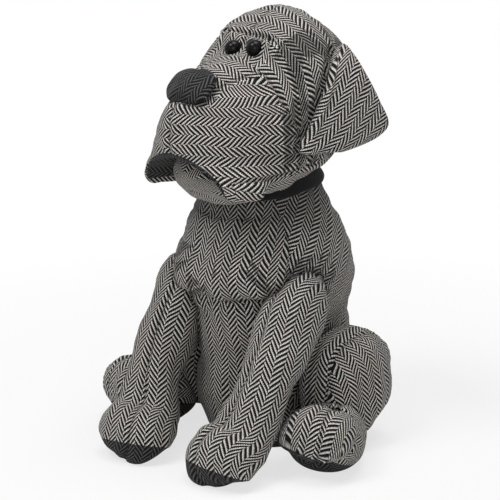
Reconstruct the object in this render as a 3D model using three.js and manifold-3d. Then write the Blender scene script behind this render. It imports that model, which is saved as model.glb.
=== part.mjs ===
// Weighted fabric door stop: a seated dog sewn from herringbone tweed.
// Millimetres, +Z up. The dog faces -Y and its left side is +X.
// The origin lies on the floor, under the middle of the outer box.
import * as THREE from "three";
import { mergeVertices } from "three/addons/utils/BufferGeometryUtils.js";
import Module from "manifold-3d";

const wasm = await Module();
wasm.setup();

// Clearance between stuffed pieces that are sewn or pressed together.
const seatGap = 0.3;
// Smoothness of the skins.
const facetsAround = 20;
const ringsBetween = 2;
const ringsInDome = 3;

// Torso, from the floor up.
const bellyWidth = 89;
const bellyFront = 46;
const bellyBack = 61;
const bellyHeight = 56;
const creaseHeight = 97;
const creaseFront = 47;
const chestHeight = 113;
const chestWidth = 110;
const chestFront = 56;
const chestBack = 58;
const shoulderHeight = 138;
const shoulderWidth = 99;
const neckHeight = 173;
const neckWidth = 65;
const seatSetBack = 13;
const neckSetForward = 2.5;
const baseFlatDepth = 30;
const baseClothHeight = 5;

// Neck band.
const bandHeight = 15;
const bandThickness = 2.8;
const bandLean = 11;

// Front legs.
const legTopHeight = 111;
const legWidth = 39;
const legDepth = 35;
const pawWidth = 50;
const pawHeight = 35;
const pawReach = 100;
const legSpacing = 92;
const rightLegInset = 5;
const ankleReach = 50;
const legToeIn = 16;
const frontSoleAtToe = 15;
const frontSoleAtHeel = 5;

// Hind legs.
const haunchLength = 70;
const haunchHeight = 71;
const haunchThickness = 46;
const haunchCentreHeight = 40;
const footLength = 62;
const footWidth = 48;
const footHeight = 39;
const footSpacing = 144;
const footSetForward = 22;
const footSplay = 20;
const toeLift = 9;
const hindSoleAtToe = 17;
const hindSoleAtHeel = 3;
const hindSoleRoll = 0.3;

// Tail.
const tailLength = 42;
const tailThickness = 18;
const tailHeight = 24;

// Head, in its own frame: x across, y backward from the middle of the skull, z up.
const headHeight = neckHeight + 62;
const headSetForward = neckSetForward + 2.5;
const headTurn = 12;
const skullWidth = 104;
const skullTop = 43;
const browTop = 27;
const stopTop = 15.5;
const bridgeTop = 7;
const backOfSkull = 64;
const muzzleReach = 65;
const muzzleWidth = 76;
const muzzlePowers = { power: 1.7, underPower: 4.5 };
const lipBottom = -69;
const lipFlare = 11.5;
const lipFlareTop = -42;
const lipFlareHeight = 20;

// Mouth.
const jawWidth = 67;
const jawReach = 53;
const jawBottom = -77;
const mouthTop = -42;
const mouthBottom = -96;
const lipThickness = 4;
const liningThickness = 1.6;

// Nose and eyes.
const noseWidth = 39.5;
const noseLength = 27;
const noseThickness = 13;
const noseSlope = 47;
const noseAhead = 40;
const noseHeight = -9;
const eyeDiameter = 10;
const eyeSpacing = 18;
const eyeShift = 3.5;
const eyeHeight = 17;
const eyeProud = 1.2;

// Ears.
const earWidth = 60;
const earThickness = 4;
const earLiningThickness = 1.8;
const earTop = 21;
const earBottom = -44;
const earFlare = 17;
const earStandOut = 61.5;

const TWEED = { color: 0x6b6964, roughness: 0.95, metalness: 0 };
const DARK_TWEED = { color: 0x3a3a3b, roughness: 0.95, metalness: 0 };
const BAND_CLOTH = { color: 0x17171a, roughness: 0.9, metalness: 0 };
const BEAD = { color: 0x08080a, roughness: 0.1, metalness: 0 };

/** Turns a closed three.js geometry into a solid. */
function toSolid(geometry) {
  const bare = geometry.index ? geometry.toNonIndexed() : geometry.clone();
  bare.deleteAttribute("normal");
  bare.deleteAttribute("uv");
  const merged = mergeVertices(bare, 1e-4);
  const vertProperties = new Float32Array(merged.attributes.position.array);
  const triVerts = new Uint32Array(merged.index.array);
  return new wasm.Manifold(new wasm.Mesh({ numProp: 3, vertProperties, triVerts }));
}

/** Turns a solid back into a three.js geometry. */
function toGeometry(solid) {
  const mesh = solid.getMesh();
  const geometry = new THREE.BufferGeometry();
  geometry.setAttribute("position", new THREE.BufferAttribute(mesh.vertProperties, 3));
  geometry.setIndex(new THREE.BufferAttribute(mesh.triVerts, 1));
  geometry.computeVertexNormals();
  return geometry;
}

/** Places of the rings along a skin: evenly between stations, closer together in the end domes. */
function ringPlaces(count) {
  const places = [];
  const step = 1 / (count - 1);
  for (let i = 1; i <= ringsInDome; i += 1) places.push(step * (i / ringsInDome) ** 2);
  const inner = (count - 3) * ringsBetween;
  for (let i = 1; i < inner; i += 1) places.push(step + (i / inner) * (1 - 2 * step));
  for (let i = ringsInDome; i >= 1; i -= 1) places.push(1 - step * (i / ringsInDome) ** 2);
  return places;
}

/** One point of a rounded section at an angle; a higher power makes that half of it squarer. */
function sectionPoint(angle, side, [over, overPower], [under, underPower]) {
  const c = Math.cos(angle);
  const s = Math.sin(angle);
  const [depth, power] = s > 0 ? [over, overPower] : [under, underPower];
  return [
    side * Math.sign(c) * Math.abs(c) ** (2 / power),
    depth * Math.sign(s) * Math.abs(s) ** (2 / power),
  ];
}

/**
 * Stuffed skin through stations along a spine. A station gives its middle and its half width,
 * depth over and depth under; the skin closes in a dome at the first and the last station,
 * which have no width. Squares of the sizes are blended, which rounds the domes. Sections stand
 * square to the spine, or where lie names their cross direction, all lie the same way. A form's
 * own shape, where it has one, moves the points at the end.
 */
function stuffed(form, grow = 0) {
  const { stations, toward, lie, power = 2, underPower, around = facetsAround, shape } = form;
  const middles = stations.map(({ at }) => new THREE.Vector3(...at));
  const last = middles.length - 1;
  const stretch = (end, next) => end.clone().sub(next).normalize().multiplyScalar(grow);
  middles[0].add(stretch(middles[0], middles[1]));
  middles[last].add(stretch(middles[last], middles[last - 1]));
  const square = (value) => (value > 0 ? (value + grow) ** 2 : 0);
  const sizes = stations.map(({ side = 0, over = side, under = over }) => (
    new THREE.Vector3(square(side), square(over), square(under))));
  const roundness = stations.map(({ power: own = power, underPower: lower = underPower ?? own }) => (
    new THREE.Vector3(own, lower, 0)));
  const spine = new THREE.CatmullRomCurve3(middles, false, "catmullrom", 0.5);
  const girth = new THREE.CatmullRomCurve3(sizes, false, "catmullrom", 0.5);
  const corners = new THREE.CatmullRomCurve3(roundness, false, "catmullrom", 0.5);
  const hint = new THREE.Vector3(...toward);
  const fixedAcross = lie && new THREE.Vector3(...lie).normalize();
  const points = [middles[0].toArray()];
  for (const place of ringPlaces(stations.length)) {
    const middle = spine.getPoint(place);
    const along = spine.getTangent(place);
    const up = hint.clone();
    if (!fixedAcross) up.addScaledVector(along, -hint.dot(along)).normalize();
    const across = fixedAcross ?? new THREE.Vector3().crossVectors(along, up);
    const [side, over, under] = girth.getPoint(place).toArray().map((v) => Math.sqrt(Math.max(v, 0)));
    const { x: overPower, y: lowerPower } = corners.getPoint(place);
    for (let i = 0; i < around; i += 1) {
      const [x, y] = sectionPoint((i / around) * 2 * Math.PI, side, [over, overPower], [under, lowerPower]);
      points.push(middle.clone().addScaledVector(across, x).addScaledVector(up, y).toArray());
    }
  }
  points.push(middles[last].toArray());
  return toSolid(skin(shape ? points.map(shape) : points, around));
}

/** Closed triangle skin over a first point, rings of equal count and a last point. */
function skin(points, around) {
  const rings = (points.length - 2) / around;
  const index = [];
  const at = (ring, i) => 1 + ring * around + (i % around);
  for (let i = 0; i < around; i += 1) {
    index.push(0, at(0, i + 1), at(0, i));
    index.push(points.length - 1, at(rings - 1, i), at(rings - 1, i + 1));
    for (let ring = 0; ring < rings - 1; ring += 1) {
      index.push(at(ring, i), at(ring, i + 1), at(ring + 1, i + 1));
      index.push(at(ring, i), at(ring + 1, i + 1), at(ring + 1, i));
    }
  }
  const geometry = new THREE.BufferGeometry();
  geometry.setAttribute("position", new THREE.Float32BufferAttribute(points.flat(), 3));
  geometry.setIndex(index);
  return outward(geometry);
}

/** Turns all faces round where they enclose a negative volume. */
function outward(geometry) {
  const p = geometry.attributes.position;
  const index = geometry.index.array;
  const [a, b, c] = [new THREE.Vector3(), new THREE.Vector3(), new THREE.Vector3()];
  let volume = 0;
  for (let i = 0; i < index.length; i += 3) {
    a.fromBufferAttribute(p, index[i]);
    b.fromBufferAttribute(p, index[i + 1]);
    c.fromBufferAttribute(p, index[i + 2]);
    volume += a.dot(b.cross(c));
  }
  if (volume < 0) {
    for (let i = 0; i < index.length; i += 3) [index[i], index[i + 1]] = [index[i + 1], index[i]];
  }
  return geometry;
}

/** Everything under a plane through a point, as a very large block. */
function halfSpace(point, up) {
  const size = 900;
  const block = new THREE.BoxGeometry(size, size, size);
  block.translate(0, 0, -size / 2);
  const turn = new THREE.Quaternion().setFromUnitVectors(
    new THREE.Vector3(0, 0, 1), new THREE.Vector3(...up).normalize());
  block.applyQuaternion(turn);
  block.translate(...point);
  return toSolid(block);
}

const floor = halfSpace([0, 0, 0], [0, 0, 1]);

/** Torso: belly, chest that bulges over it, shoulders and neck. */
const torsoForm = {
  toward: [0, -1, 0],
  power: 2.1,
  stations: [
    { at: [0, seatSetBack, -baseFlatDepth] },
    { at: [0, seatSetBack, bellyHeight / 3], side: bellyWidth / 2, over: bellyFront - 2, under: bellyBack },
    { at: [0, seatSetBack, bellyHeight], side: bellyWidth / 2 - 1, over: bellyFront, under: bellyBack },
    { at: [0, 10, creaseHeight - 18], side: chestWidth / 2 - 10, over: creaseFront, under: chestBack + 3 },
    { at: [0, 8, creaseHeight], side: chestWidth / 2 - 4, over: creaseFront + 2, under: chestBack + 1 },
    { at: [0, 6.8, chestHeight], side: chestWidth / 2, over: chestFront + 2, under: chestBack - 2 },
    { at: [0, 6, chestHeight + 12], side: chestWidth / 2 - 2, over: chestFront },
    { at: [0, 4.8, shoulderHeight], side: shoulderWidth / 2 },
    { at: [0, 2.2, (shoulderHeight + neckHeight) / 2 + 2], side: (shoulderWidth + neckWidth) / 4 },
    { at: [0, -neckSetForward, neckHeight], side: neckWidth / 2 },
    { at: [0, -3 * neckSetForward, neckHeight + 24] },
  ],
};

/** Front leg of one side, from the shoulder down to the toes. */
function frontLegForm(side) {
  const turn = THREE.MathUtils.degToRad(legToeIn);
  const spread = legSpacing / 2 - (side < 0 ? rightLegInset : 0);
  const place = (reach, height) => {
    const bend = Math.max(reach - ankleReach, 0);
    return [side * (spread - bend * Math.sin(turn)), bend * (1 - Math.cos(turn)) - reach, height];
  };
  return {
    toward: [0, -0.35, 1],
    power: 2.15,
    stations: [
      { at: place(3, legTopHeight) },
      { at: place(19, legTopHeight - 14), side: legWidth / 2, over: legDepth / 2 },
      { at: place(34, 78), side: legWidth / 2, over: legDepth / 2 },
      { at: place(52, 50), side: legWidth / 2 - 2.5, over: legDepth / 2 - 2 },
      { at: place(67, 27), side: pawWidth / 2 - 5, over: pawHeight / 2 - 3, under: pawHeight / 2 + 1 },
      { at: place(81, 18), side: pawWidth / 2, over: pawHeight / 2 - 3, under: pawHeight / 2 },
      { at: place(92, 19), side: pawWidth / 2 - 2, over: pawHeight / 2 - 5, under: pawHeight / 2 - 2 },
      { at: place(pawReach, 19) },
    ],
  };
}

/** Haunch of one side: a thick disc of cloth against the torso. */
function haunchForm(side) {
  const inner = bellyWidth / 2 - 14;
  const disc = (x, share) => ({
    at: [side * (inner + x * haunchThickness), seatSetBack + 8, haunchCentreHeight],
    side: (haunchLength / 2) * share,
    over: (haunchHeight / 2) * share,
    under: (haunchHeight / 2) * share,
  });
  return {
    toward: [0, 0, 1],
    power: 2.2,
    stations: [
      { at: disc(0, 0).at },
      disc(0.3, 0.93),
      disc(0.6, 1),
      disc(0.88, 0.82),
      { at: disc(1.06, 0).at },
    ],
  };
}

/** Hind foot of one side, from heel to toe. */
function hindFootForm(side) {
  const turn = THREE.MathUtils.degToRad(footSplay);
  const place = (ahead, height) => [
    side * (footSpacing / 2 + ahead * Math.sin(turn)), -footSetForward - ahead * Math.cos(turn), height];
  const half = footLength / 2;
  const wide = footWidth / 2;
  const high = footHeight / 2;
  const middle = high - 1;
  return {
    toward: [0, 0, 1],
    power: 2.15,
    stations: [
      { at: place(-half - 4, middle + 2) },
      { at: place(-half * 0.5, middle), side: wide - 2, over: high },
      { at: place(half * 0.05, middle), side: wide, over: high + 1, under: high },
      { at: place(half * 0.6, middle + toeLift), side: wide - 3, over: high - 5 },
      { at: place(half + 1, middle + toeLift + 1) },
    ],
  };
}

/** Tail, from inside the torso outward. */
const tailForm = {
  toward: [0, 0, 1],
  around: 16,
  stations: [
    { at: [0, seatSetBack + bellyBack - 12, tailHeight + 2] },
    { at: [0, seatSetBack + bellyBack, tailHeight], side: tailThickness / 2 },
    { at: [0, seatSetBack + bellyBack + tailLength * 0.45, tailHeight - 1], side: tailThickness / 2 },
    { at: [0, seatSetBack + bellyBack + tailLength * 0.75, tailHeight + 3], side: tailThickness / 2 - 1 },
    { at: [0, seatSetBack + bellyBack + tailLength, tailHeight + 10] },
  ],
};

/** Station of the head by its distance ahead, widest height, half width, top and bottom. */
function headStation(ahead, widest, half, top, bottom) {
  return { at: [0, -ahead, widest], side: half, over: top - widest, under: widest - bottom };
}

/** Spreads a point of the lips' lower edge outward. */
function flareLips([x, y, z]) {
  const fore = THREE.MathUtils.smoothstep(-y, 18, 36);
  const low = THREE.MathUtils.clamp((lipFlareTop - z) / lipFlareHeight, 0, 1.2);
  return [x + Math.tanh(x / 20) * lipFlare * fore * low ** 1.4, y, z];
}

/** Head: skull and muzzle in one skin, laid along its own forward axis. */
const headForm = {
  toward: [0, 0, 1],
  lie: [1, 0, 0],
  power: 2.2,
  underPower: 3.2,
  around: 28,
  shape: flareLips,
  stations: [
    { at: [0, backOfSkull, -8] },
    headStation(-49, -10, skullWidth / 2 - 15, skullTop - 12, -44),
    headStation(-29, -12, skullWidth / 2 - 3, skullTop - 2, -58),
    headStation(-10, -16, skullWidth / 2, skullTop - 6, -66),
    headStation(4.5, -22, skullWidth / 2 - 1, browTop, lipBottom - 1),
    headStation(10.5, -28, skullWidth / 2 - 2, stopTop, lipBottom - 1),
    { ...headStation(26, -42, muzzleWidth / 2 + 8, bridgeTop + 4, lipBottom), ...muzzlePowers },
    { ...headStation(43, -50, muzzleWidth / 2, bridgeTop, lipBottom + 1), ...muzzlePowers },
    { ...headStation(55, -52, muzzleWidth / 2 - 8, bridgeTop - 13, lipBottom + 3), ...muzzlePowers },
    { at: [0, -muzzleReach, -38], ...muzzlePowers },
  ],
};

/** Lower jaw: a pad under the lips. */
const jawForm = {
  toward: [0, 0, 1],
  lie: [1, 0, 0],
  power: 2.1,
  stations: [
    { at: [0, 16, -57] },
    headStation(-2, -58, jawWidth / 2 - 5, -52, jawBottom + 4),
    headStation(20, -60, jawWidth / 2, mouthTop - 3, jawBottom),
    headStation(jawReach - 15, -58, jawWidth / 2 - 5, mouthTop - 1, jawBottom + 3),
    { at: [0, -jawReach, -57] },
  ],
};

const mouthHalf = muzzleWidth / 2 + lipFlare * 0.8 - lipThickness;
const mouthMiddle = lipBottom - 2;

/** Hollow under the upper lip, open downward and to the front. */
const mouthForm = {
  toward: [0, 0, 1],
  lie: [1, 0, 0],
  power: 1.9,
  stations: [
    { at: [0, 6, mouthMiddle + 2] },
    headStation(10, mouthMiddle, mouthHalf - 12, mouthTop - 8, mouthBottom),
    headStation(32, mouthMiddle, mouthHalf - 4, mouthTop - 1, mouthBottom),
    headStation(muzzleReach - 9, mouthMiddle, mouthHalf, mouthTop, mouthBottom),
    headStation(muzzleReach + 15, mouthMiddle, mouthHalf, mouthTop, mouthBottom),
    { at: [0, -muzzleReach - 40, mouthMiddle] },
  ],
};

/** Ear flap of one side; its face looks outward and forward, and it widens to its lower edge. */
function earForm(side, over, under, shift, inset) {
  const facing = new THREE.Vector3(0.95 * side, -0.3, 0);
  const station = (forward, out, height, half) => ({
    at: [side * out + facing.x * shift, -forward + facing.y * shift, height],
    side: half > 0 ? half - inset : 0,
    over: half > 0 ? over : 0,
    under: half > 0 ? under : 0,
  });
  return {
    toward: facing.toArray(),
    lie: [earFlare * side, 55, 15],
    power: 2.4,
    around: 16,
    stations: [
      station(-36, earStandOut - 19, earTop, 0),
      station(-31, earStandOut - 12, earTop - 8, earWidth * 0.13),
      station(-27.5, earStandOut - 5.5, earTop - 22, earWidth * 0.25),
      station(-25, earStandOut - 2, earTop - 38, earWidth * 0.38),
      station(-22.5, earStandOut, earTop - 52, earWidth * 0.49),
      station(-20.5, earStandOut, earBottom + 4, earWidth * 0.42),
      station(-19.5, earStandOut, earBottom, 0),
    ],
  };
}

const headSkin = (grow) => stuffed(headForm, grow);

/** First point of the head's skin that a line from outside meets. */
function skinPoint(through, inward) {
  const skull = new THREE.Mesh(toGeometry(headSkin(0)));
  const direction = new THREE.Vector3(...inward).normalize();
  const from = new THREE.Vector3(...through).addScaledVector(direction, -200);
  return new THREE.Raycaster(from, direction).intersectObject(skull)[0].point;
}

/** Nose pad on the sloping front of the muzzle. */
function noseForm() {
  const slope = THREE.MathUtils.degToRad(noseSlope);
  const out = [0, -Math.sin(slope), Math.cos(slope)];
  const seat = skinPoint([0, -noseAhead, noseHeight], [0, Math.sin(slope), -Math.cos(slope)]);
  const place = (lift) => [0, seat.y + out[1] * lift, seat.z + out[2] * lift];
  return {
    toward: [0, 1, 1],
    power: 2.3,
    around: 18,
    stations: [
      { at: place(-noseThickness * 0.6) },
      { at: place(-noseThickness * 0.25), side: noseWidth / 2 - 1, over: noseLength / 2 - 1 },
      { at: place(noseThickness * 0.1), side: noseWidth / 2, over: noseLength / 2 },
      { at: place(noseThickness * 0.5) },
    ],
  };
}

/** Bead of one side, sunk in the face. */
function bead(side) {
  const ball = new THREE.SphereGeometry(eyeDiameter / 2, 16, 10);
  const seat = skinPoint([side * eyeSpacing / 2 + eyeShift, 0, eyeHeight], [0, 1, 0]);
  ball.translate(seat.x, seat.y - eyeProud, seat.z);
  return toSolid(ball);
}

/** Parts a stuffed piece at a plane, tilted along and across it, into its upper and its sole. */
function partSole(solid, toe, heel, toeHeight, heelHeight, across = 0) {
  const run = new THREE.Vector3(...toe).sub(new THREE.Vector3(...heel)).setZ(0);
  const rise = toeHeight - heelHeight;
  const roll = across * run.length();
  const up = [-run.x * rise - run.y * roll, -run.y * rise + run.x * roll, run.lengthSq()];
  const cutAt = (lift) => halfSpace([heel[0], heel[1], heelHeight + lift], up);
  return [solid.subtract(cutAt(seatGap)), solid.intersect(cutAt(0))];
}

const dog = new THREE.Group();

/** Adds one named piece to a group. */
function addPiece(parent, name, solid, finish) {
  const mesh = new THREE.Mesh(toGeometry(solid), new THREE.MeshStandardMaterial(finish));
  mesh.name = name;
  parent.add(mesh);
}

/** The head's place on the body. */
function headFrame() {
  const frame = new THREE.Group();
  frame.position.set(0, -headSetForward, headHeight);
  frame.rotation.z = THREE.MathUtils.degToRad(-headTurn);
  frame.updateMatrix();
  return frame;
}

/** Moves a solid from the head's frame to the body's. */
function onBody(solid, frame) {
  return toSolid(toGeometry(solid).applyMatrix4(frame.matrix));
}

function buildHead() {
  const frame = headFrame();
  const hollow = stuffed(mouthForm);
  const lining = hollow.subtract(stuffed(mouthForm, -liningThickness)).intersect(headSkin(-1));
  const lips = headSkin(seatGap).subtract(stuffed(mouthForm, -(liningThickness + seatGap)));
  const jaw = stuffed(jawForm).subtract(lips);
  const head = headSkin(0).subtract(stuffed(mouthForm, seatGap)).subtract(stuffed(jawForm, seatGap));
  addPiece(frame, "head", head, TWEED);
  addPiece(frame, "lower_jaw", jaw, TWEED);
  addPiece(frame, "lip_lining", lining, DARK_TWEED);
  const skull = headSkin(seatGap);
  addPiece(frame, "nose", stuffed(noseForm()).subtract(skull), DARK_TWEED);
  for (const [side, hand] of [[1, "left"], [-1, "right"]]) {
    addPiece(frame, `eye_${hand}`, bead(side).subtract(skull), BEAD);
    const ear = stuffed(earForm(side, earThickness, 0.01, 0, 0)).subtract(skull);
    const earLining = stuffed(earForm(side, 0.01, earLiningThickness, -seatGap, 0.5)).subtract(skull);
    addPiece(frame, `ear_${hand}`, ear, TWEED);
    addPiece(frame, `ear_lining_${hand}`, earLining, DARK_TWEED);
  }
  return frame;
}

function buildBody(frame) {
  const headBlock = onBody(headSkin(seatGap).add(stuffed(jawForm, seatGap)), frame);
  const torso = stuffed(torsoForm).subtract(floor).subtract(headBlock);
  addPiece(dog, "torso", torso.subtract(halfSpace([0, 0, baseClothHeight + seatGap], [0, 0, 1])), TWEED);
  addPiece(dog, "base_panel", torso.intersect(halfSpace([0, 0, baseClothHeight], [0, 0, 1])), DARK_TWEED);

  const lean = THREE.MathUtils.degToRad(bandLean);
  const up = [0, -Math.sin(lean), Math.cos(lean)];
  const slab = halfSpace([0, -neckSetForward, neckHeight + 7], up)
    .subtract(halfSpace([0, -neckSetForward, neckHeight + 7 - bandHeight], up));
  const band = stuffed(torsoForm, bandThickness).subtract(stuffed(torsoForm, seatGap)).intersect(slab);
  addPiece(dog, "neck_band", band.subtract(headBlock), BAND_CLOTH);

  const trunk = stuffed(torsoForm, seatGap);
  for (const [side, hand] of [[1, "left"], [-1, "right"]]) {
    const legForm = frontLegForm(side);
    const leg = stuffed(legForm).subtract(trunk).subtract(floor);
    const [shank, sole] = partSole(leg, legForm.stations.at(-1).at, legForm.stations.at(-4).at,
      frontSoleAtToe, frontSoleAtHeel);
    addPiece(dog, `front_leg_${hand}`, shank, TWEED);
    addPiece(dog, `front_sole_${hand}`, sole, DARK_TWEED);
    const legBlock = stuffed(legForm, seatGap);
    const haunch = stuffed(haunchForm(side)).subtract(trunk).subtract(legBlock).subtract(floor);
    addPiece(dog, `haunch_${hand}`, haunch, TWEED);
    const footForm = hindFootForm(side);
    const haunchBlock = stuffed(haunchForm(side), seatGap);
    const foot = stuffed(footForm).subtract(trunk).subtract(legBlock).subtract(haunchBlock).subtract(floor);
    const [upper, hindSole] = partSole(foot, footForm.stations[4].at, footForm.stations[0].at,
      hindSoleAtToe, hindSoleAtHeel, side * hindSoleRoll);
    addPiece(dog, `hind_foot_${hand}`, upper, TWEED);
    addPiece(dog, `hind_sole_${hand}`, hindSole, DARK_TWEED);
  }
  addPiece(dog, "tail", stuffed(tailForm).subtract(trunk), TWEED);
}

const head = buildHead();
dog.add(head);
buildBody(head);

// The origin goes to the floor under the middle of the outer box.
const box = new THREE.Box3().setFromObject(dog, true);
const middle = box.getCenter(new THREE.Vector3());
dog.position.set(-middle.x, -middle.y, -box.min.z);

export default dog;
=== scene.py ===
"""Looks of the weighted door stop, a seated dog sewn from herringbone tweed.

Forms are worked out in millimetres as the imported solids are, and set in the frame in metres.
The dog faces -Y and its left side is +X.
"""

import logging
import math
from collections.abc import Callable, Sequence
from dataclasses import dataclass, field, replace
from enum import Enum

import bmesh
import bpy
import numpy as np
from mathutils import Matrix, Vector
from mathutils.bvhtree import BVHTree


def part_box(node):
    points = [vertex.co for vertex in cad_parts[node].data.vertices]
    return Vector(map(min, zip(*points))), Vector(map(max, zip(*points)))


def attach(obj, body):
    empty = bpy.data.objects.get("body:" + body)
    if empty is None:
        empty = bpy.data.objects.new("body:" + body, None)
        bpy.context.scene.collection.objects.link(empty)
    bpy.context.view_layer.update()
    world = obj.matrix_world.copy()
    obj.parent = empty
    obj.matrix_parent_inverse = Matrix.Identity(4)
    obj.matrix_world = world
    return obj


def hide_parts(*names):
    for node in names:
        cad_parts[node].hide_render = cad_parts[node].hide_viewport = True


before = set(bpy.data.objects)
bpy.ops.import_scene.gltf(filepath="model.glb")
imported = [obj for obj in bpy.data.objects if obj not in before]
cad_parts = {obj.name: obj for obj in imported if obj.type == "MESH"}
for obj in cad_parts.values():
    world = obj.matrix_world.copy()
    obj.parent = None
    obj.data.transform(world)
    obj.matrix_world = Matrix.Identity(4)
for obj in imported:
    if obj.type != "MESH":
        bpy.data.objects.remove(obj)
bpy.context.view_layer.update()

MM = 0.001
FLOOR_GAP = 0.05
CONTACT_GAP = 0.3
PAD_GAP = 0.2
# Reach in millimetres of the painted shade under the head on the chest.
CHIN_SHADE_REACH = 24.0
log = logging.getLogger("door_stop")

Point = tuple[float, float, float]
Array = np.ndarray


class Hand(Enum):
    """The dog's own left and right."""

    LEFT = 1
    RIGHT = -1

    @property
    def word(self) -> str:
        """Name used in the names of pieces."""
        return self.name.lower()


# Shader maths and the finishes.


class Wire:
    """A socket that adds its maths nodes when it is used in an expression."""

    def __init__(self, bench: "Bench", socket: bpy.types.NodeSocket) -> None:
        """Wraps a socket of a bench."""
        self.bench = bench
        self.socket = socket

    def __add__(self, other: "Wire | float") -> "Wire":
        """Sum."""
        return self.bench.math("ADD", self, other)

    def __sub__(self, other: "Wire | float") -> "Wire":
        """Difference."""
        return self.bench.math("SUBTRACT", self, other)

    def __rsub__(self, other: float) -> "Wire":
        """Difference from a number."""
        return self.bench.math("SUBTRACT", other, self)

    def __mul__(self, other: "Wire | float") -> "Wire":
        """Product."""
        return self.bench.math("MULTIPLY", self, other)

    def __truediv__(self, other: "Wire | float") -> "Wire":
        """Quotient."""
        return self.bench.math("DIVIDE", self, other)

    def __mod__(self, other: "Wire | float") -> "Wire":
        """Floored remainder."""
        return self.bench.math("FLOORED_MODULO", self, other)

    def __lt__(self, other: "Wire | float") -> "Wire":
        """1 where this is less, otherwise 0."""
        return self.bench.math("LESS_THAN", self, other)

    __radd__ = __add__
    __rmul__ = __mul__

    def floor(self) -> "Wire":
        """Whole number below."""
        return self.bench.math("FLOOR", self)

    def fraction(self) -> "Wire":
        """Part behind the whole number."""
        return self.bench.math("FRACT", self)

    def crown(self) -> "Wire":
        """Arch that is 0 at 0 and 1, and 1 between them."""
        return self * (1 - self) * 4

    def choose(self, when_off: "Wire | float", when_on: "Wire | float") -> "Wire":
        """Blend of two values by this one."""
        return self * when_on + (1 - self) * when_off


class Bench:
    """Node bench of one material."""

    def __init__(self, name: str) -> None:
        """Starts an empty material.

        Args:
            name: The material's name.
        """
        self.material = bpy.data.materials.new(name)
        self.material.use_nodes = True
        self.tree = self.material.node_tree
        self.tree.nodes.clear()

    def node(
        self,
        kind: str,
        settings: dict[str, object] | None = None,
        inputs: dict[str | int, object] | None = None,
    ) -> bpy.types.Node:
        """Adds one node.

        Args:
            kind: Blender's node type.
            settings: The node's own properties, set first.
            inputs: Values or wires of its sockets, by name or number.

        Returns:
            The node.
        """
        made = self.tree.nodes.new(kind)
        for key, value in (settings or {}).items():
            setattr(made, key, value)
        for key, value in (inputs or {}).items():
            if isinstance(value, Wire):
                self.tree.links.new(value.socket, made.inputs[key])
            else:
                made.inputs[key].default_value = value
        return made

    def out(self, node: bpy.types.Node, output: str | int = 0) -> Wire:
        """Wire from one output of a node."""
        return Wire(self, node.outputs[output])

    def math(self, operation: str, *terms: "Wire | float") -> Wire:
        """Adds a Math node.

        Args:
            operation: Blender's name of the operation.
            *terms: Its terms in order.

        Returns:
            Wire with the result.
        """
        return self.out(
            self.node("ShaderNodeMath", {"operation": operation}, dict(enumerate(terms)))
        )

    def mix(self, share: "Wire | float", first: object, second: object) -> Wire:
        """Blends two colours.

        Args:
            share: How much of the second colour there is.
            first: First colour or wire.
            second: Second colour or wire.

        Returns:
            Wire with the blend.
        """
        made = self.node(
            "ShaderNodeMix",
            {"data_type": "RGBA"},
            {"Factor": share, 6: first, 7: second},
        )
        return self.out(made, 2)

    def place(self) -> Wire:
        """Wire with the point in the object's own space, in metres."""
        return self.out(self.node("ShaderNodeTexCoord"), "Object")

    def noise(self, size_mm: float, detail: float = 2.0) -> Wire:
        """Adds smooth noise.

        Args:
            size_mm: About the size of one lump in millimetres.
            detail: How many finer layers it has.

        Returns:
            Wire with values about 0.5.
        """
        made = self.node(
            "ShaderNodeTexNoise",
            None,
            {"Vector": self.place(), "Scale": 1 / (size_mm * MM), "Detail": detail},
        )
        return self.out(made)

    def finish(self, shader: bpy.types.Node) -> bpy.types.Material:
        """Sends a shader to the surface.

        Args:
            shader: The shader's node.

        Returns:
            The material.
        """
        end = self.node("ShaderNodeOutputMaterial")
        self.tree.links.new(shader.outputs[0], end.inputs["Surface"])
        return self.material


Colour = tuple[float, float, float, float]


def srgb(red: int, green: int, blue: int) -> Colour:
    """Linear colour from the 0-255 values of a picture.

    Args:
        red: Red value.
        green: Green value.
        blue: Blue value.

    Returns:
        The colour, with an alpha of 1.
    """
    linear = [
        c / 12.92 if c <= 0.04045 else ((c + 0.055) / 1.055) ** 2.4
        for c in (red / 255, green / 255, blue / 255)
    ]
    return (*linear, 1.0)


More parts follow.
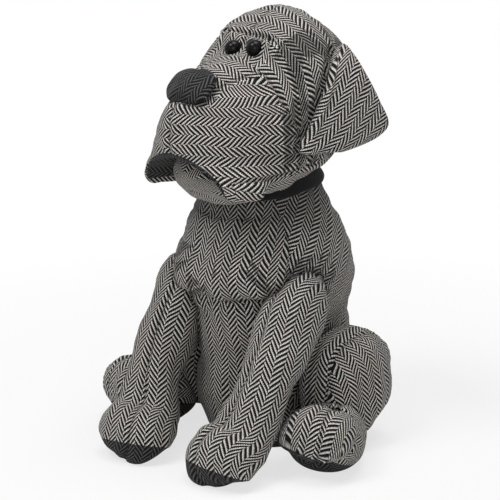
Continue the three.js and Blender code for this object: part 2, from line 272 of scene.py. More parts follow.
@dataclass(frozen=True)
class HerringboneTweed:
    """Wool cloth in a two-up two-down twill that turns back every few ends.

    The pitches are from thread to thread, and the sizes of its unevenness are those of one
    lump, all in millimetres. drift moves the threads from lump to lump, wander bends whole
    columns, and tint and wear are shares of the brightness. valley is the share of painted
    shade between the threads, and crease_shade the depth of the painted shade that the crease
    attribute puts at seams, at contacts and under the head.
    """

    name: str
    light: Colour
    light_warm: Colour
    dark: Colour
    warp_pitch: float = 0.72
    weft_pitch: float = 0.86
    threads_in_column: int = 8
    threads_in_repeat: int = 4
    # Painted shade from the crease attribute.
    crease_shade: float = 0.72
    fuzz: float = 0.13
    hair_size: float = 0.55
    relief: float = 0.35
    relief_height: float = 0.35
    sheen: float = 0.05
    drift: float = 1.3
    drift_sizes: tuple[float, float] = (11.0, 13.0)
    wander: float = 5.0
    wander_sizes: tuple[float, float] = (34.0, 39.0)
    light_share: float = 0.46
    warm_size: float = 7.0
    tint: float = 0.35
    tint_least: float = 0.78
    wear: float = 0.5
    wear_size: float = 2.2
    # Painted shade between the threads.
    valley_shade: float = 0.35
    valley_shade_least: float = 0.72
    roughness: float = 0.95
    gloss: float = 0.2
    sheen_roughness: float = 0.5

    def material(self) -> bpy.types.Material:
        """Builds the material.

        Returns:
            A material that lays the weave along the cloth map.
        """
        bench = Bench(self.name)
        cloth = bench.out(bench.node("ShaderNodeUVMap", {"uv_map": "cloth"}))
        axes = bench.node("ShaderNodeSeparateXYZ", None, {0: cloth})
        drift, sway = (bench.noise(size, 1.0) - 0.5 for size in self.drift_sizes)
        hairs = bench.noise(self.hair_size)
        stray = (hairs - 0.5) * self.fuzz
        wave, swing = (bench.noise(size, 1.0) - 0.5 for size in self.wander_sizes)
        across = bench.out(axes, 0) + drift * self.drift + wave * self.wander + stray * 2
        along = bench.out(axes, 1) + sway * self.drift + swing * self.wander + stray

        warp = across / self.warp_pitch
        weft = along / self.weft_pitch
        column = (warp / self.threads_in_column).floor()
        end = warp - column * self.threads_in_column
        turned = column % 2
        mirrored = self.threads_in_column + 1 - end.floor()
        step = turned.choose(end.floor(), mirrored)
        phase = (step + weft.floor()) % self.threads_in_repeat
        slant = turned.choose(end, self.threads_in_column + 2 - end)
        in_repeat = (slant + weft) % self.threads_in_repeat
        warp_up = in_repeat < self.light_share * self.threads_in_repeat
        in_end = end.fraction()
        in_pick = weft.fraction()
        run = turned.choose(in_end, 1 - in_end)
        warp_lift = in_end.crown() * (((phase + in_pick) / 2).crown() * 0.5 + 0.5)
        weft_lift = in_pick.crown() * (((phase - 2 + run) / 2).crown() * 0.5 + 0.5)
        lift = warp_up.choose(weft_lift, warp_lift)

        warp_tint = self._per_thread(bench, warp)
        weft_tint = self._per_thread(bench, weft)
        light = bench.mix(bench.noise(self.warm_size, 3.0), self.light, self.light_warm)
        yarn = bench.mix(warp_up, self.dark, light)
        tint = warp_up.choose(weft_tint, warp_tint) * self.tint + self.tint_least
        worn = (bench.noise(self.wear_size, 4.0) - 0.5) * self.wear + 1.0
        # Painted shade: the crease attribute darkens the yarn at seams, at contacts and under the head,
        # and depth darkens it between the threads.
        crease = bench.out(bench.node("ShaderNodeAttribute", {"attribute_name": "crease"}), 2)
        depth = lift * self.valley_shade + self.valley_shade_least
        shade = tint * worn * (1 - crease * self.crease_shade) * depth
        tone = bench.node("ShaderNodeCombineXYZ", None, {0: shade, 1: shade, 2: shade})
        coloured = bench.node(
            "ShaderNodeVectorMath", {"operation": "MULTIPLY"}, {0: yarn, 1: bench.out(tone)}
        )
        bump = bench.node(
            "ShaderNodeBump",
            None,
            {
                "Strength": self.relief,
                "Distance": self.relief_height * MM,
                "Height": lift + hairs * 0.5,
            },
        )
        shader = bench.node(
            "ShaderNodeBsdfPrincipled",
            None,
            {
                "Base Color": bench.out(coloured),
                "Roughness": self.roughness,
                "Specular IOR Level": self.gloss,
                "Sheen Weight": self.sheen,
                "Sheen Roughness": self.sheen_roughness,
                "Normal": bench.out(bump),
            },
        )
        return bench.finish(shader)

    def _per_thread(self, bench: Bench, thread: Wire) -> Wire:
        """Gives each thread its own random value.

        Args:
            bench: The material's bench.
            thread: Wire that counts the threads.

        Returns:
            Wire with the value.
        """
        made = bench.node(
            "ShaderNodeTexWhiteNoise", {"noise_dimensions": "1D"}, {"W": thread.floor()}
        )
        return bench.out(made)


@dataclass(frozen=True)
class Felt:
    """Plain felted cloth. The sizes of its unevenness are in millimetres."""

    name: str
    colour: Colour
    fleck: Colour
    matting_size: float = 0.9
    blotch_size: float = 6.0
    matting_share: float = 0.6
    relief: float = 0.6
    relief_height: float = 0.4
    roughness: float = 0.95
    gloss: float = 0.15
    sheen: float = 0.08
    sheen_roughness: float = 0.6

    def material(self) -> bpy.types.Material:
        """Builds the material.

        Returns:
            A matt material with a matted surface.
        """
        bench = Bench(self.name)
        matting = bench.noise(self.matting_size, 5.0)
        blotch = bench.noise(self.blotch_size, 3.0)
        share = matting * self.matting_share + blotch * (1 - self.matting_share)
        colour = bench.mix(share, self.colour, self.fleck)
        bump = bench.node(
            "ShaderNodeBump",
            None,
            {
                "Strength": self.relief,
                "Distance": self.relief_height * MM,
                "Height": matting + blotch,
            },
        )
        shader = bench.node(
            "ShaderNodeBsdfPrincipled",
            None,
            {
                "Base Color": colour,
                "Roughness": self.roughness,
                "Specular IOR Level": self.gloss,
                "Sheen Weight": self.sheen,
                "Sheen Roughness": self.sheen_roughness,
                "Normal": bench.out(bump),
            },
        )
        return bench.finish(shader)


@dataclass(frozen=True)
class GlossBead:
    """Polished black bead."""

    name: str
    colour: Colour
    haze_size: float = 1.5
    haze: float = 0.10
    polish: float = 0.04
    gloss: float = 0.15

    def material(self) -> bpy.types.Material:
        """Builds the material.

        Returns:
            A glossy material with faint handling marks.
        """
        bench = Bench(self.name)
        haze = bench.noise(self.haze_size, 4.0)
        shader = bench.node(
            "ShaderNodeBsdfPrincipled",
            None,
            {
                "Base Color": self.colour,
                "Roughness": haze * self.haze + self.polish,
                "Specular IOR Level": self.gloss,
            },
        )
        return bench.finish(shader)


# Stuffed forms, their skins, seams and panels.


@dataclass(frozen=True)
class Station:
    """One ring of a stuffed form: its middle, half width, depth over and depth under."""

    at: Point
    side: float = 0.0
    over: float | None = None
    under: float | None = None
    power: float | None = None
    under_power: float | None = None

    def squares(self, grow: float) -> Point:
        """Squares of the three half sizes.

        Args:
            grow: How far each size is grown first.

        Returns:
            Squares for the side, over and under.
        """
        over = self.side if self.over is None else self.over
        under = over if self.under is None else self.under
        return tuple((s + grow) ** 2 if s > 0 else 0.0 for s in (self.side, over, under))


def through(values: Array, places: Array) -> Array:
    """Smooth curve through evenly spaced values.

    Args:
        values: One row for each station.
        places: Where along the row of stations, from 0 to 1.

    Returns:
        One row for each place.
    """
    row = np.vstack([2 * values[0] - values[1], values, 2 * values[-1] - values[-2]])
    span = np.clip(places * (len(values) - 1), 0, len(values) - 1 - 1e-9)
    k = span.astype(int)
    t = (span - k)[:, None]
    p0, p1, p2, p3 = (row[k + i] for i in range(4))
    leave, arrive = (p2 - p0) / 2, (p3 - p1) / 2
    return (
        (2 * t**3 - 3 * t**2 + 1) * p1
        + (t**3 - 2 * t**2 + t) * leave
        + (3 * t**2 - 2 * t**3) * p2
        + (t**3 - t**2) * arrive
    )


def unit(vectors: Array) -> Array:
    """Vectors of length 1 in the same directions."""
    return vectors / np.maximum(np.linalg.norm(vectors, axis=-1, keepdims=True), 1e-9)


@dataclass(frozen=True)
class StuffedForm:
    """Skin through stations along a spine, closed in a dome at both ends."""

    stations: Sequence[Station]
    toward: Point
    lie: Point | None = None
    power: float = 2.0
    under_power: float | None = None
    around: int = 120
    between: int = 12
    in_dome: int = 14

    def places(self) -> Array:
        """Places of the rings, closer together in the end domes.

        Returns:
            One place for each ring, from 0 to 1.
        """
        step = 1 / (len(self.stations) - 1)
        dome = step * (np.arange(1, self.in_dome + 1) / self.in_dome) ** 2
        inner = (len(self.stations) - 3) * self.between
        body = step + np.arange(1, inner) / inner * (1 - 2 * step)
        return np.concatenate([dome, body, 1 - dome[::-1]])

    def _powers(self, station: Station) -> tuple[float, float]:
        """Roundness of a station's upper and lower half."""
        over = station.power or self.power
        return over, station.under_power or self.under_power or over

    def skin(self, grow: float = 0.0) -> "Skin":
        """Works out the skin.

        Args:
            grow: How far the skin stands outside its own size.

        Returns:
            The skin, its first column at the back seam.
        """
        middles = np.array([s.at for s in self.stations], float)
        middles[0] += unit(middles[0] - middles[1]) * grow
        middles[-1] += unit(middles[-1] - middles[-2]) * grow
        places = self.places()
        spine = through(middles, places)
        along = unit(through(middles, places + 1e-4) - through(middles, places - 1e-4))
        squares = np.array([s.squares(grow) for s in self.stations])
        half = np.sqrt(np.maximum(through(squares, places), 0))
        powers = through(np.array([self._powers(s) for s in self.stations]), places)
        over_power, under_power = powers[:, :1], powers[:, 1:]
        up = np.tile(np.array(self.toward, float), (len(places), 1))
        if self.lie:
            across = np.tile(unit(np.array(self.lie, float)), (len(places), 1))
        else:
            up = unit(up - (up * along).sum(1, keepdims=True) * along)
            across = np.cross(along, up)
        angle = np.linspace(0, 2 * math.pi, self.around, endpoint=False) - math.pi / 2
        c, s = np.cos(angle), np.sin(angle)
        above = s > 0
        power = np.where(above, over_power, under_power)
        x = half[:, :1] * np.sign(c) * np.abs(c) ** (2 / power)
        depth = np.where(above, half[:, 1:2], half[:, 2:3])
        y = depth * np.sign(s) * np.abs(s) ** (2 / power)
        grid = spine[:, None] + x[..., None] * across[:, None] + y[..., None] * up[:, None]
        return Skin(grid, np.array([middles[0], middles[-1]]))


class Skin:
    """Closed skin of rings of points between two end points, with the cloth's own lengths."""

    def __init__(self, grid: Array, ends: Array) -> None:
        """Keeps the points and measures the cloth.

        Args:
            grid: Points of the rings, ring by ring.
            ends: The two end points.
        """
        self.rings, self.around = grid.shape[:2]
        self.points = np.vstack([ends[:1], grid.reshape(-1, 3), ends[1:]])
        closed = np.concatenate([grid, grid[:, :1]], axis=1)
        steps = np.linalg.norm(np.diff(closed, axis=1), axis=2)
        self.girth = np.concatenate([np.zeros((self.rings, 1)), np.cumsum(steps, 1)], 1)
        first = np.linalg.norm(closed[0] - ends[0], axis=1)
        rises = np.linalg.norm(np.diff(closed, axis=0), axis=2)
        self.length = first + np.concatenate(
            [np.zeros((1, self.around + 1)), np.cumsum(rises, 0)]
        )
        self.length -= self.length[self.rings // 2]
        # Painted shade at each point, from 0 to 1, for seams, contacts and shade under the head.
        self.crease = np.zeros(len(self.points))
        self.quads, self.fans = self._faces()
        self.turn_outward()

    def _faces(self) -> tuple[Array, Array]:
        """Corner numbers of all faces.

        Returns:
            Those of the quads, ring by ring, and those of the two end fans.
        """
        ring, column = np.meshgrid(
            np.arange(self.rings - 1), np.arange(self.around), indexing="ij"
        )
        nxt = (column + 1) % self.around

        def at(ring: Array | int, column: Array) -> Array:
            """Number of the point at a ring and a column."""
            return 1 + ring * self.around + column

        quads = np.stack(
            [at(ring, column), at(ring, nxt), at(ring + 1, nxt), at(ring + 1, column)], -1
        ).reshape(-1, 4)
        c = np.arange(self.around)
        n = (c + 1) % self.around
        first = np.stack([np.zeros_like(c), at(0, n), at(0, c)], -1)
        last = np.stack(
            [np.full_like(c, len(self.points) - 1), at(self.rings - 1, c), at(self.rings - 1, n)],
            -1,
        )
        return quads, np.vstack([first, last])

    def turn_outward(self) -> None:
        """Notes whether the faces enclose a negative volume as they are."""
        a, b, c, d = (self.points[self.quads[:, i]] for i in range(4))
        volume = (a * np.cross(b, c)).sum() + (a * np.cross(c, d)).sum()
        self.inside_out = bool(volume < 0)

    def normals(self) -> Array:
        """Outward direction at each point.

        Returns:
            One unit vector for each point.
        """
        p = self.points
        a, b, c, d = (p[self.quads[:, i]] for i in range(4))
        made = np.zeros_like(p)
        normal = np.cross(c - a, d - b)
        for i in range(4):
            np.add.at(made, self.quads[:, i], normal)
        a, b, c = (p[self.fans[:, i]] for i in range(3))
        normal = np.cross(b - a, c - a)
        for i in range(3):
            np.add.at(made, self.fans[:, i], normal)
        return unit(-made if self.inside_out else made)

    def swell(self, rise: Array) -> None:
        """Lifts each point by its own height along the outward direction."""
        self.points += self.normals() * rise[:, None]

    def column_at(self, degrees: float) -> int:
        """Number of the column at an angle from the middle line, toward the skin's own side."""
        return round((degrees / 360 + 0.5) * self.around) % self.around

    def meridian(self, degrees: float, start: float = 0.0, stop: float = 1.0) -> Array:
        """Points along one column.

        Args:
            degrees: Angle of the column from the middle line.
            start: First ring, as a share of the rings.
            stop: Last ring, as a share of the rings.

        Returns:
            The points.
        """
        rows = np.arange(int(start * (self.rings - 1)), int(stop * (self.rings - 1)) + 1)
        return self.points[1 + rows * self.around + self.column_at(degrees)]

    def ring(self, share: float, start: float = -180.0, stop: float = 180.0) -> Array:
        """Points along one ring between two angles.

        Args:
            share: Which ring, as a share of the rings.
            start: First angle from the middle line.
            stop: Last angle from the middle line.

        Returns:
            The points.
        """
        first = round((start / 360 + 0.5) * self.around)
        last = round((stop / 360 + 0.5) * self.around)
        columns = np.arange(first, last + 1) % self.around
        return self.points[1 + int(share * (self.rings - 1)) * self.around + columns]


Filling = tuple[tuple[float, float], ...]


def lumps(points: Array, size: float, seed: int) -> Array:
    """Smooth unevenness of about one unit, the same each run.

    Args:
        points: Points in millimetres.
        size: About how far one lump is from the next.
        seed: Number that picks the pattern.

    Returns:
        One value for each point.
    """
    rng = np.random.default_rng(seed)
    waves = unit(rng.normal(size=(14, 3))) * (2 * math.pi / size)
    waves *= rng.uniform(0.6, 1.5, (14, 1))
    return np.cos(points @ waves.T + rng.uniform(0, 2 * math.pi, 14)).sum(1) / math.sqrt(7)


def unevenness(points: Array, filling: Filling, seed: int, step: int = 1) -> Array:
    """How far the filling lifts the cloth.

    Args:
        points: Points in millimetres.
        filling: Height and spacing of each kind of lump, in millimetres.
        seed: Number that picks the pattern of the first kind.
        step: How far on the number of the next kind is.

    Returns:
        One height for each point.
    """
    return sum(
        height * lumps(points, size, seed + step * kind)
        for kind, (height, size) in enumerate(filling)
    )


def nearest_on(path: Array, points: Array) -> tuple[Array, Array]:
    """Distance of points from a path and how far along it they lie.

    Args:
        path: The path's points.
        points: Points to measure.

    Returns:
        Distance and length along the path, one of each for each point.
    """
    steps = np.linalg.norm(np.diff(path, axis=0), axis=1)
    run = np.concatenate([[0], np.cumsum(steps)])
    best = np.full(len(points), 1e9)
    at = np.zeros(len(points))
    low, high = path.min(0) - 25, path.max(0) + 25
    near = np.flatnonzero(((points > low) & (points < high)).all(1))
    for a, b, start, length in zip(path[:-1], path[1:], run[:-1], steps, strict=True):
        if length < 1e-9:
            continue
        share = np.clip(((points[near] - a) @ (b - a)) / length**2, 0, 1)
        gap = np.linalg.norm(points[near] - (a + share[:, None] * (b - a)), axis=1)
        closer = gap < best[near]
        best[near[closer]] = gap[closer]
        at[near[closer]] = start + share[closer] * length
    return best, at


@dataclass(frozen=True)
class Seam:
    """A sewn line: how deep and wide it pulls the cloth in, how it puckers, and its painted shade."""

    path: Array
    depth: float = 1.3
    width: float = 2.2
    pucker: float = 0.35
    pitch: float = 7.0
    shade: float = 0.75
    ridge: float = 0.3

    def sew(self, skin: Skin) -> None:
        """Pulls a skin in along the seam and paints shade along its groove.

        Args:
            skin: The skin, which is changed.
        """
        gap, run = nearest_on(self.path, skin.points)
        near = gap < self.width * 8
        wander = 1.6 * np.sin(run / (self.pitch * 2.7) + self.path[0].sum())
        wave = np.cos(2 * math.pi * run / self.pitch + wander)
        groove = np.exp(-((gap / self.width) ** 2)) * (1 + 0.25 * wave)
        gather = np.exp(-((gap / (self.width * 3.2)) ** 2)) * wave
        swell = np.exp(-(((gap - self.width * 2.2) / (self.width * 1.3)) ** 2))
        lift = -self.depth * groove + self.pucker * gather + self.ridge * swell
        skin.swell(lift * near)
        # Painted shade along the seam's groove.
        skin.crease = np.maximum(skin.crease, self.shade * np.exp(-((gap / 0.95) ** 2)))


class Neighbour:
    """A piece that others give way to."""

    def __init__(self, points: Array, faces: list[tuple[int, ...]]) -> None:
        """Keeps a search tree of the piece's skin."""
        self.tree = BVHTree.FromPolygons(points.tolist(), faces)
        self.low, self.high = points.min(0), points.max(0)

    def press_out(self, skin: Skin, gap: float, reach: float = 2.2, deep: float = 1.6) -> None:
        """Lays a skin against this piece and paints shade on it near the contact.

        A point a little inside comes out to the clearance, and a deeper one, which can't be
        seen, to just under this piece's skin.

        Args:
            skin: The skin that gives way.
            gap: Clearance in millimetres.
            reach: How far from the contact its painted shade goes.
            deep: How far inside a point counts as deep.
        """
        margin = 3 * reach
        box = (skin.points > self.low - margin) & (skin.points < self.high + margin)
        for i in np.flatnonzero(box.all(1)):
            point = Vector(skin.points[i])
            spot, normal, _, distance = self.tree.find_nearest(point)
            side = (point - spot).dot(normal)
            if side < -deep:
                skin.points[i] = spot - normal * 0.4
                skin.crease[i] = 1.0
            elif side < 0 or distance < gap:
                skin.points[i] = spot + normal * gap
                skin.crease[i] = max(skin.crease[i], 0.9)
            else:
                touch = math.exp(-((distance / reach) ** 2))
                skin.crease[i] = max(skin.crease[i], 0.75 * touch)

    def shade(self, skin: Skin, reach: float = 2.6, draw: float = 0.9) -> None:
        """Paints shade on a skin where this piece touches it, and draws it in there a little.

        Args:
            skin: The skin, which is changed.
            reach: How far from the contact the painted shade goes, in millimetres.
            draw: How far the skin is drawn in at the contact, in millimetres.
        """
        margin = 3 * reach
        box = (skin.points > self.low - margin) & (skin.points < self.high + margin)
        normals = skin.normals()
        for i in np.flatnonzero(box.all(1)):
            point = Vector(skin.points[i])
            spot, normal, _, distance = self.tree.find_nearest(point)
            outside = (point - spot).dot(normal) > 0
            touch = math.exp(-((distance / reach) ** 2)) if outside else 1.0
            skin.crease[i] = max(skin.crease[i], 0.8 * touch)
            if outside and distance < margin:
                skin.points[i] -= normals[i] * draw * touch


@dataclass(frozen=True)
class Cut:
    """How a panel is cut: where its middle line lies, how far its weave is turned, its slip.

    tie is the ring share at which the weave meets that of the top.
    """

    middle: float = 0.0
    turn: float = 0.0
    slip: float = 0.0
    lay: Callable[[Array], Array] | None = None
    tie: float | None = None


PanelRule = Callable[[Array, Array, Array], Array]


def flat(across: Point, along: Point) -> Callable[[Array], Array]:
    """Lays cloth flat along two directions."""
    axes = np.array([across, along], float).T
    return lambda points: points @ axes


def one_panel(points: Array, ring: Array, angle: Array) -> Array:
    """Puts all faces in the first panel."""
    return np.zeros(len(points), int)


def parted_at(edge: float) -> PanelRule:
    """Rule that puts the faces below an angle in the first panel and the others in the second."""
    return lambda points, ring, angle: np.where(angle < edge, 0, 1)


def set_out(mesh: bpy.types.Mesh) -> bpy.types.Object:
    """Puts a mesh in the scene as a smooth piece of the same name.

    Args:
        mesh: The mesh.

    Returns:
        The piece.
    """
    mesh.polygons.foreach_set("use_smooth", np.ones(len(mesh.polygons), bool))
    made = bpy.data.objects.new(mesh.name, mesh)
    bpy.context.scene.collection.objects.link(made)
    return made


class Tailor:
    """Makes meshes of skins, cut in panels, and sets them in the frame."""

    def __init__(self, shift: Point) -> None:
        """Keeps where the forms' own origin lies in the frame, in millimetres."""
        self.shift = np.array(shift)

    def faces(self, skin: Skin) -> list[tuple[int, ...]]:
        """All faces of a skin, turned outward."""
        order = slice(None, None, -1) if skin.inside_out else slice(None)
        return [tuple(f[order]) for f in (*skin.quads.tolist(), *skin.fans.tolist())]

    def neighbour(self, skin: Skin) -> Neighbour:
        """The skin as something that others give way to."""
        return Neighbour(skin.points, self.faces(skin))

    def mesh(
        self,
        name: str,
        skin: Skin,
        cuts: Sequence[Cut] = (Cut(),),
        rule: PanelRule = one_panel,
    ) -> bpy.types.Object:
        """Makes the object of a skin.

        Args:
            name: Name of the object.
            skin: Its skin in millimetres.
            cuts: The panels that it is sewn from.
            rule: Gives the panel of each face from its middle, ring share and angle.

        Returns:
            The object, in the scene.
        """
        mesh = bpy.data.meshes.new(name)
        mesh.from_pydata(((skin.points + self.shift) * MM).tolist(), [], self.faces(skin))
        corners = self._corners(skin, cuts, rule)
        layer = mesh.uv_layers.new(name="cloth")
        layer.data.foreach_set("uv", corners.astype(np.float32).ravel())
        # The crease attribute holds painted shade at seams, at contacts and under the head.
        crease = mesh.attributes.new("crease", "FLOAT", "POINT")
        crease.data.foreach_set("value", skin.crease.astype(np.float32))
        return set_out(mesh)

    def _corners(self, skin: Skin, cuts: Sequence[Cut], rule: PanelRule) -> Array:
        """Cloth coordinates of each face corner.

        Args:
            skin: The skin.
            cuts: The panels that it is sewn from.
            rule: Gives the panel of each face.

        Returns:
            One pair for each corner, in the order of the faces.
        """
        around, rings = skin.around, skin.rings
        ring = np.repeat(np.arange(rings - 1), around)
        column = np.tile(np.arange(around), rings - 1)
        quad_ring = np.stack([ring, ring, ring + 1, ring + 1], -1)
        quad_column = np.stack([column, column + 1, column + 1, column], -1)
        c = np.arange(around)
        first_ring = np.zeros((around, 3), int)
        last_ring = np.full((around, 3), rings - 1)
        fan_ring = np.vstack([first_ring, last_ring])
        fan_column = np.vstack([np.stack([c, c + 1, c], -1), np.stack([c, c, c + 1], -1)])
        sets = []
        for faces, rows, columns in (
            (skin.quads, quad_ring, quad_column),
            (skin.fans, fan_ring, fan_column),
        ):
            middle = skin.points[faces].mean(1)
            share = rows.mean(1) / (rings - 1)
            angle = (columns.mean(1) / around - 0.5) * 360
            panel = rule(middle, share, angle)
            uv = np.zeros((*faces.shape, 2))
            for number, cut in enumerate(cuts):
                pick = panel == number
                uv[pick] = self._lay(skin, cut, faces[pick], rows[pick], columns[pick])
            if skin.inside_out:
                uv = uv[:, ::-1]
            sets.append(uv.reshape(-1, 2))
        return np.vstack(sets)

    def _lay(self, skin: Skin, cut: Cut, faces: Array, rows: Array, columns: Array) -> Array:
        """Cloth coordinates of the corners of one panel's faces.

        Args:
            skin: The skin.
            cut: How the panel is cut.
            faces: Point numbers of the corners.
            rows: Ring of each corner.
            columns: Column of each corner.

        Returns:
            One pair for each corner.
        """
        if cut.lay:
            across, along = np.moveaxis(cut.lay(skin.points[faces]), -1, 0)
        else:
            zero = skin.girth[:, round((cut.middle / 360 + 0.5) * skin.around)]
            if cut.tie is not None:
                ring = int(cut.tie * (skin.rings - 1))
                zero = zero - zero[ring] + skin.girth[ring, skin.around // 2]
            across = skin.girth[rows, columns] - zero[rows]
            along = skin.length[rows, columns]
        turn = math.radians(cut.turn)
        u = across * math.cos(turn) - along * math.sin(turn) + cut.slip
        v = across * math.sin(turn) + along * math.cos(turn)
        return np.stack([u, v], -1)

    def part_at(
        self, piece: bpy.types.Object, name: str, point: Point, up: Point
    ) -> tuple[bpy.types.Object, bpy.types.Object]:
        """Parts a piece at a plane.

        Args:
            piece: The whole piece, which becomes the upper one.
            name: Name of the new lower piece.
            point: A point of the plane in the form's millimetres.
            up: Direction of the upper piece.

        Returns:
            The upper and the lower piece.
        """
        lower = piece.copy()
        lower.data = piece.data.copy()
        lower.name = lower.data.name = name
        bpy.context.scene.collection.objects.link(lower)
        spot = Vector((np.array(point) + self.shift) * MM)
        for part, direction in ((piece, -Vector(up)), (lower, Vector(up))):
            work = bmesh.new()
            work.from_mesh(part.data)
            cut = bmesh.ops.bisect_plane(
                work,
                geom=[*work.verts, *work.edges, *work.faces],
                plane_co=spot,
                plane_no=direction,
                clear_outer=True,
            )["geom_cut"]
            rim = [e for e in cut if isinstance(e, bmesh.types.BMEdge)]
            bmesh.ops.contextual_create(work, geom=rim)
            work.to_mesh(part.data)
            work.free()
        return piece, lower


@dataclass
class Dresser:
    """Gives each piece its slot's finish and its place on the body; hides its imported parts."""

    finishes: dict[str, bpy.types.Material]

    def dress(
        self,
        piece: bpy.types.Object,
        slot: str,
        *nodes: str,
        fill: float | None = None,
        finish: str | None = None,
    ) -> bpy.types.Object:
        """Dresses one piece.

        Args:
            piece: The piece.
            slot: The record's material slot.
            *nodes: The nodes that it stands for.
            fill: How tightly it is stuffed, where it is. Not used.
            finish: The finish's name, where it isn't the slot's.

        Returns:
            The piece.
        """
        piece.data.materials.clear()
        piece.data.materials.append(self.finishes[finish or slot])
        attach(piece, "root")
        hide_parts(*nodes)
        log.info("%s: %d faces", piece.name, len(piece.data.polygons))
        return piece


def rest_on_floor(skin: Skin) -> None:
    """Flattens a skin where it lies on the floor."""
    skin.points[:, 2] = np.maximum(skin.points[:, 2], FLOOR_GAP)


def lay_against(skin: Skin, neighbours: Sequence[Neighbour]) -> None:
    """Lays a skin against each of its neighbours in turn."""
    for neighbour in neighbours:
        neighbour.press_out(skin, CONTACT_GAP)


def settle(skin: Skin, neighbours: Sequence[Neighbour]) -> Skin:
    """Lays a skin against its neighbours and the floor.

    Args:
        skin: The skin, which is changed.
        neighbours: What it is laid against.

    Returns:
        The same skin.
    """
    lay_against(skin, neighbours)
    rest_on_floor(skin)
    return skin


def square_to_sole(toe: Point, heel: Point, rise: float, roll: float = 0.0) -> Point:
    """Direction square to a sole that rises from heel to toe.

    Args:
        toe: Point under the toe.
        heel: Point under the heel.
        rise: How far the sole rises between them.
        roll: How steeply it rises sideways.

    Returns:
        The direction, of any length.
    """
    run = np.array(toe) - np.array(heel)
    length = float(run @ run)
    tilt = roll * math.sqrt(length)
    return (-run[0] * rise - run[1] * tilt, -run[1] * rise + run[0] * tilt, length)


# Body and limbs.


@dataclass
class Torso:
    """Weighted bag of the body: belly, chest that bulges over it, shoulders and neck."""

    tailor: Tailor
    belly_width: float = 89
    belly_front: float = 46
    belly_back: float = 61
    belly_height: float = 56
    crease_height: float = 97
    crease_front: float = 47
    chest_height: float = 113
    chest_width: float = 110
    chest_front: float = 56
    chest_back: float = 58
    shoulder_height: float = 138
    shoulder_width: float = 99
    neck_height: float = 173
    neck_width: float = 65
    seat_set_back: float = 13
    neck_set_forward: float = 2.5
    base_flat_depth: float = 30
    base_cloth_height: float = 5
    panel_edge: float = 58
    under_chest: float = 98
    side_weave_turn: float = 43
    filling: Filling = ((0.9, 46), (0.3, 15))

    def form(self) -> StuffedForm:
        """The bag's form.

        Returns:
            The plain form.
        """
        back = self.seat_set_back
        belly, chest = self.belly_width / 2, self.chest_width / 2
        crease, shoulder = self.crease_height, self.shoulder_height
        return StuffedForm(
            toward=(0, -1, 0),
            power=2.1,
            around=300,
            between=20,
            in_dome=18,
            stations=(
                Station((0, back, -self.base_flat_depth)),
                Station((0, back, self.belly_height / 3), belly, self.belly_front - 2, self.belly_back),
                Station((0, back, self.belly_height), belly - 1, self.belly_front, self.belly_back),
                Station((0, 10, crease - 18), chest - 10, self.crease_front, self.chest_back + 3),
                Station((0, 8, crease), chest - 4, self.crease_front + 2, self.chest_back + 1),
                Station((0, 6.8, self.chest_height), chest, self.chest_front + 2, self.chest_back - 2),
                Station((0, 6, self.chest_height + 12), chest - 2, self.chest_front),
                Station((0, 4.8, shoulder), self.shoulder_width / 2),
                Station(
                    (0, 2.2, (shoulder + self.neck_height) / 2 + 2),
                    (self.shoulder_width + self.neck_width) / 4,
                ),
                Station((0, -self.neck_set_forward, self.neck_height), self.neck_width / 2),
                Station((0, -3 * self.neck_set_forward, self.neck_height + 24)),
            ),
        )

    def skin(self) -> Skin:
        """The bag's skin with its seams, flat on the floor.

        Returns:
            The skin.
        """
        skin = self.form().skin()
        skin.swell(unevenness(skin.points, self.filling, 3))
        low = self._share_at(skin, self.under_chest)
        seams = [
            Seam(skin.meridian(edge, low, 0.97), depth=0.9, pucker=0.25)
            for edge in (-self.panel_edge, self.panel_edge)
        ]
        seams.append(Seam(skin.meridian(180, 0.1, 0.97), depth=0.9))
        across = skin.ring(low, -self.panel_edge, self.panel_edge)
        seams.append(Seam(across, depth=3.0, width=3.4, pucker=0.5, pitch=9, ridge=0.8, shade=0.9))
        for seam in seams:
            seam.sew(skin)
        rest_on_floor(skin)
        return skin

    def _share_at(self, skin: Skin, height: float) -> float:
        """Share of the rings that lie below a height."""
        middle = skin.points[1 + np.arange(skin.rings) * skin.around + skin.around // 2, 2]
        return float(np.searchsorted(middle, height)) / (skin.rings - 1)

    def build(self, dresser: Dresser, skin: Skin) -> None:
        """Makes the bag and the cloth that it stands on.

        Args:
            dresser: Dresses the pieces.
            skin: The bag's skin.
        """
        low = self._share_at(skin, self.under_chest)

        def rule(points: Array, ring: Array, angle: Array) -> Array:
            """Front over and under the chest's fold, then the two sides.

            Args:
                points: Middle of each face. Not used.
                ring: Ring share of each face.
                angle: Angle of each face from the middle line.

            Returns:
                One panel number for each face.
            """
            front = np.abs(angle) < self.panel_edge
            side = np.where(angle > 0, 2, 3)
            return np.where(front, np.where(ring > low, 0, 1), side)

        cuts = (
            Cut(),
            Cut(slip=3.2),
            Cut(middle=90, turn=self.side_weave_turn),
            Cut(middle=-90, turn=-self.side_weave_turn),
        )
        whole = self.tailor.mesh("torso_bag", skin, cuts, rule)
        bag, base = self.tailor.part_at(
            whole, "base_cloth", (0, 0, self.base_cloth_height), (0, 0, 1)
        )
        dresser.dress(bag, "tweed", "torso", fill=0.9)
        dresser.dress(base, "dark_tweed", "base_panel", fill=0.5)


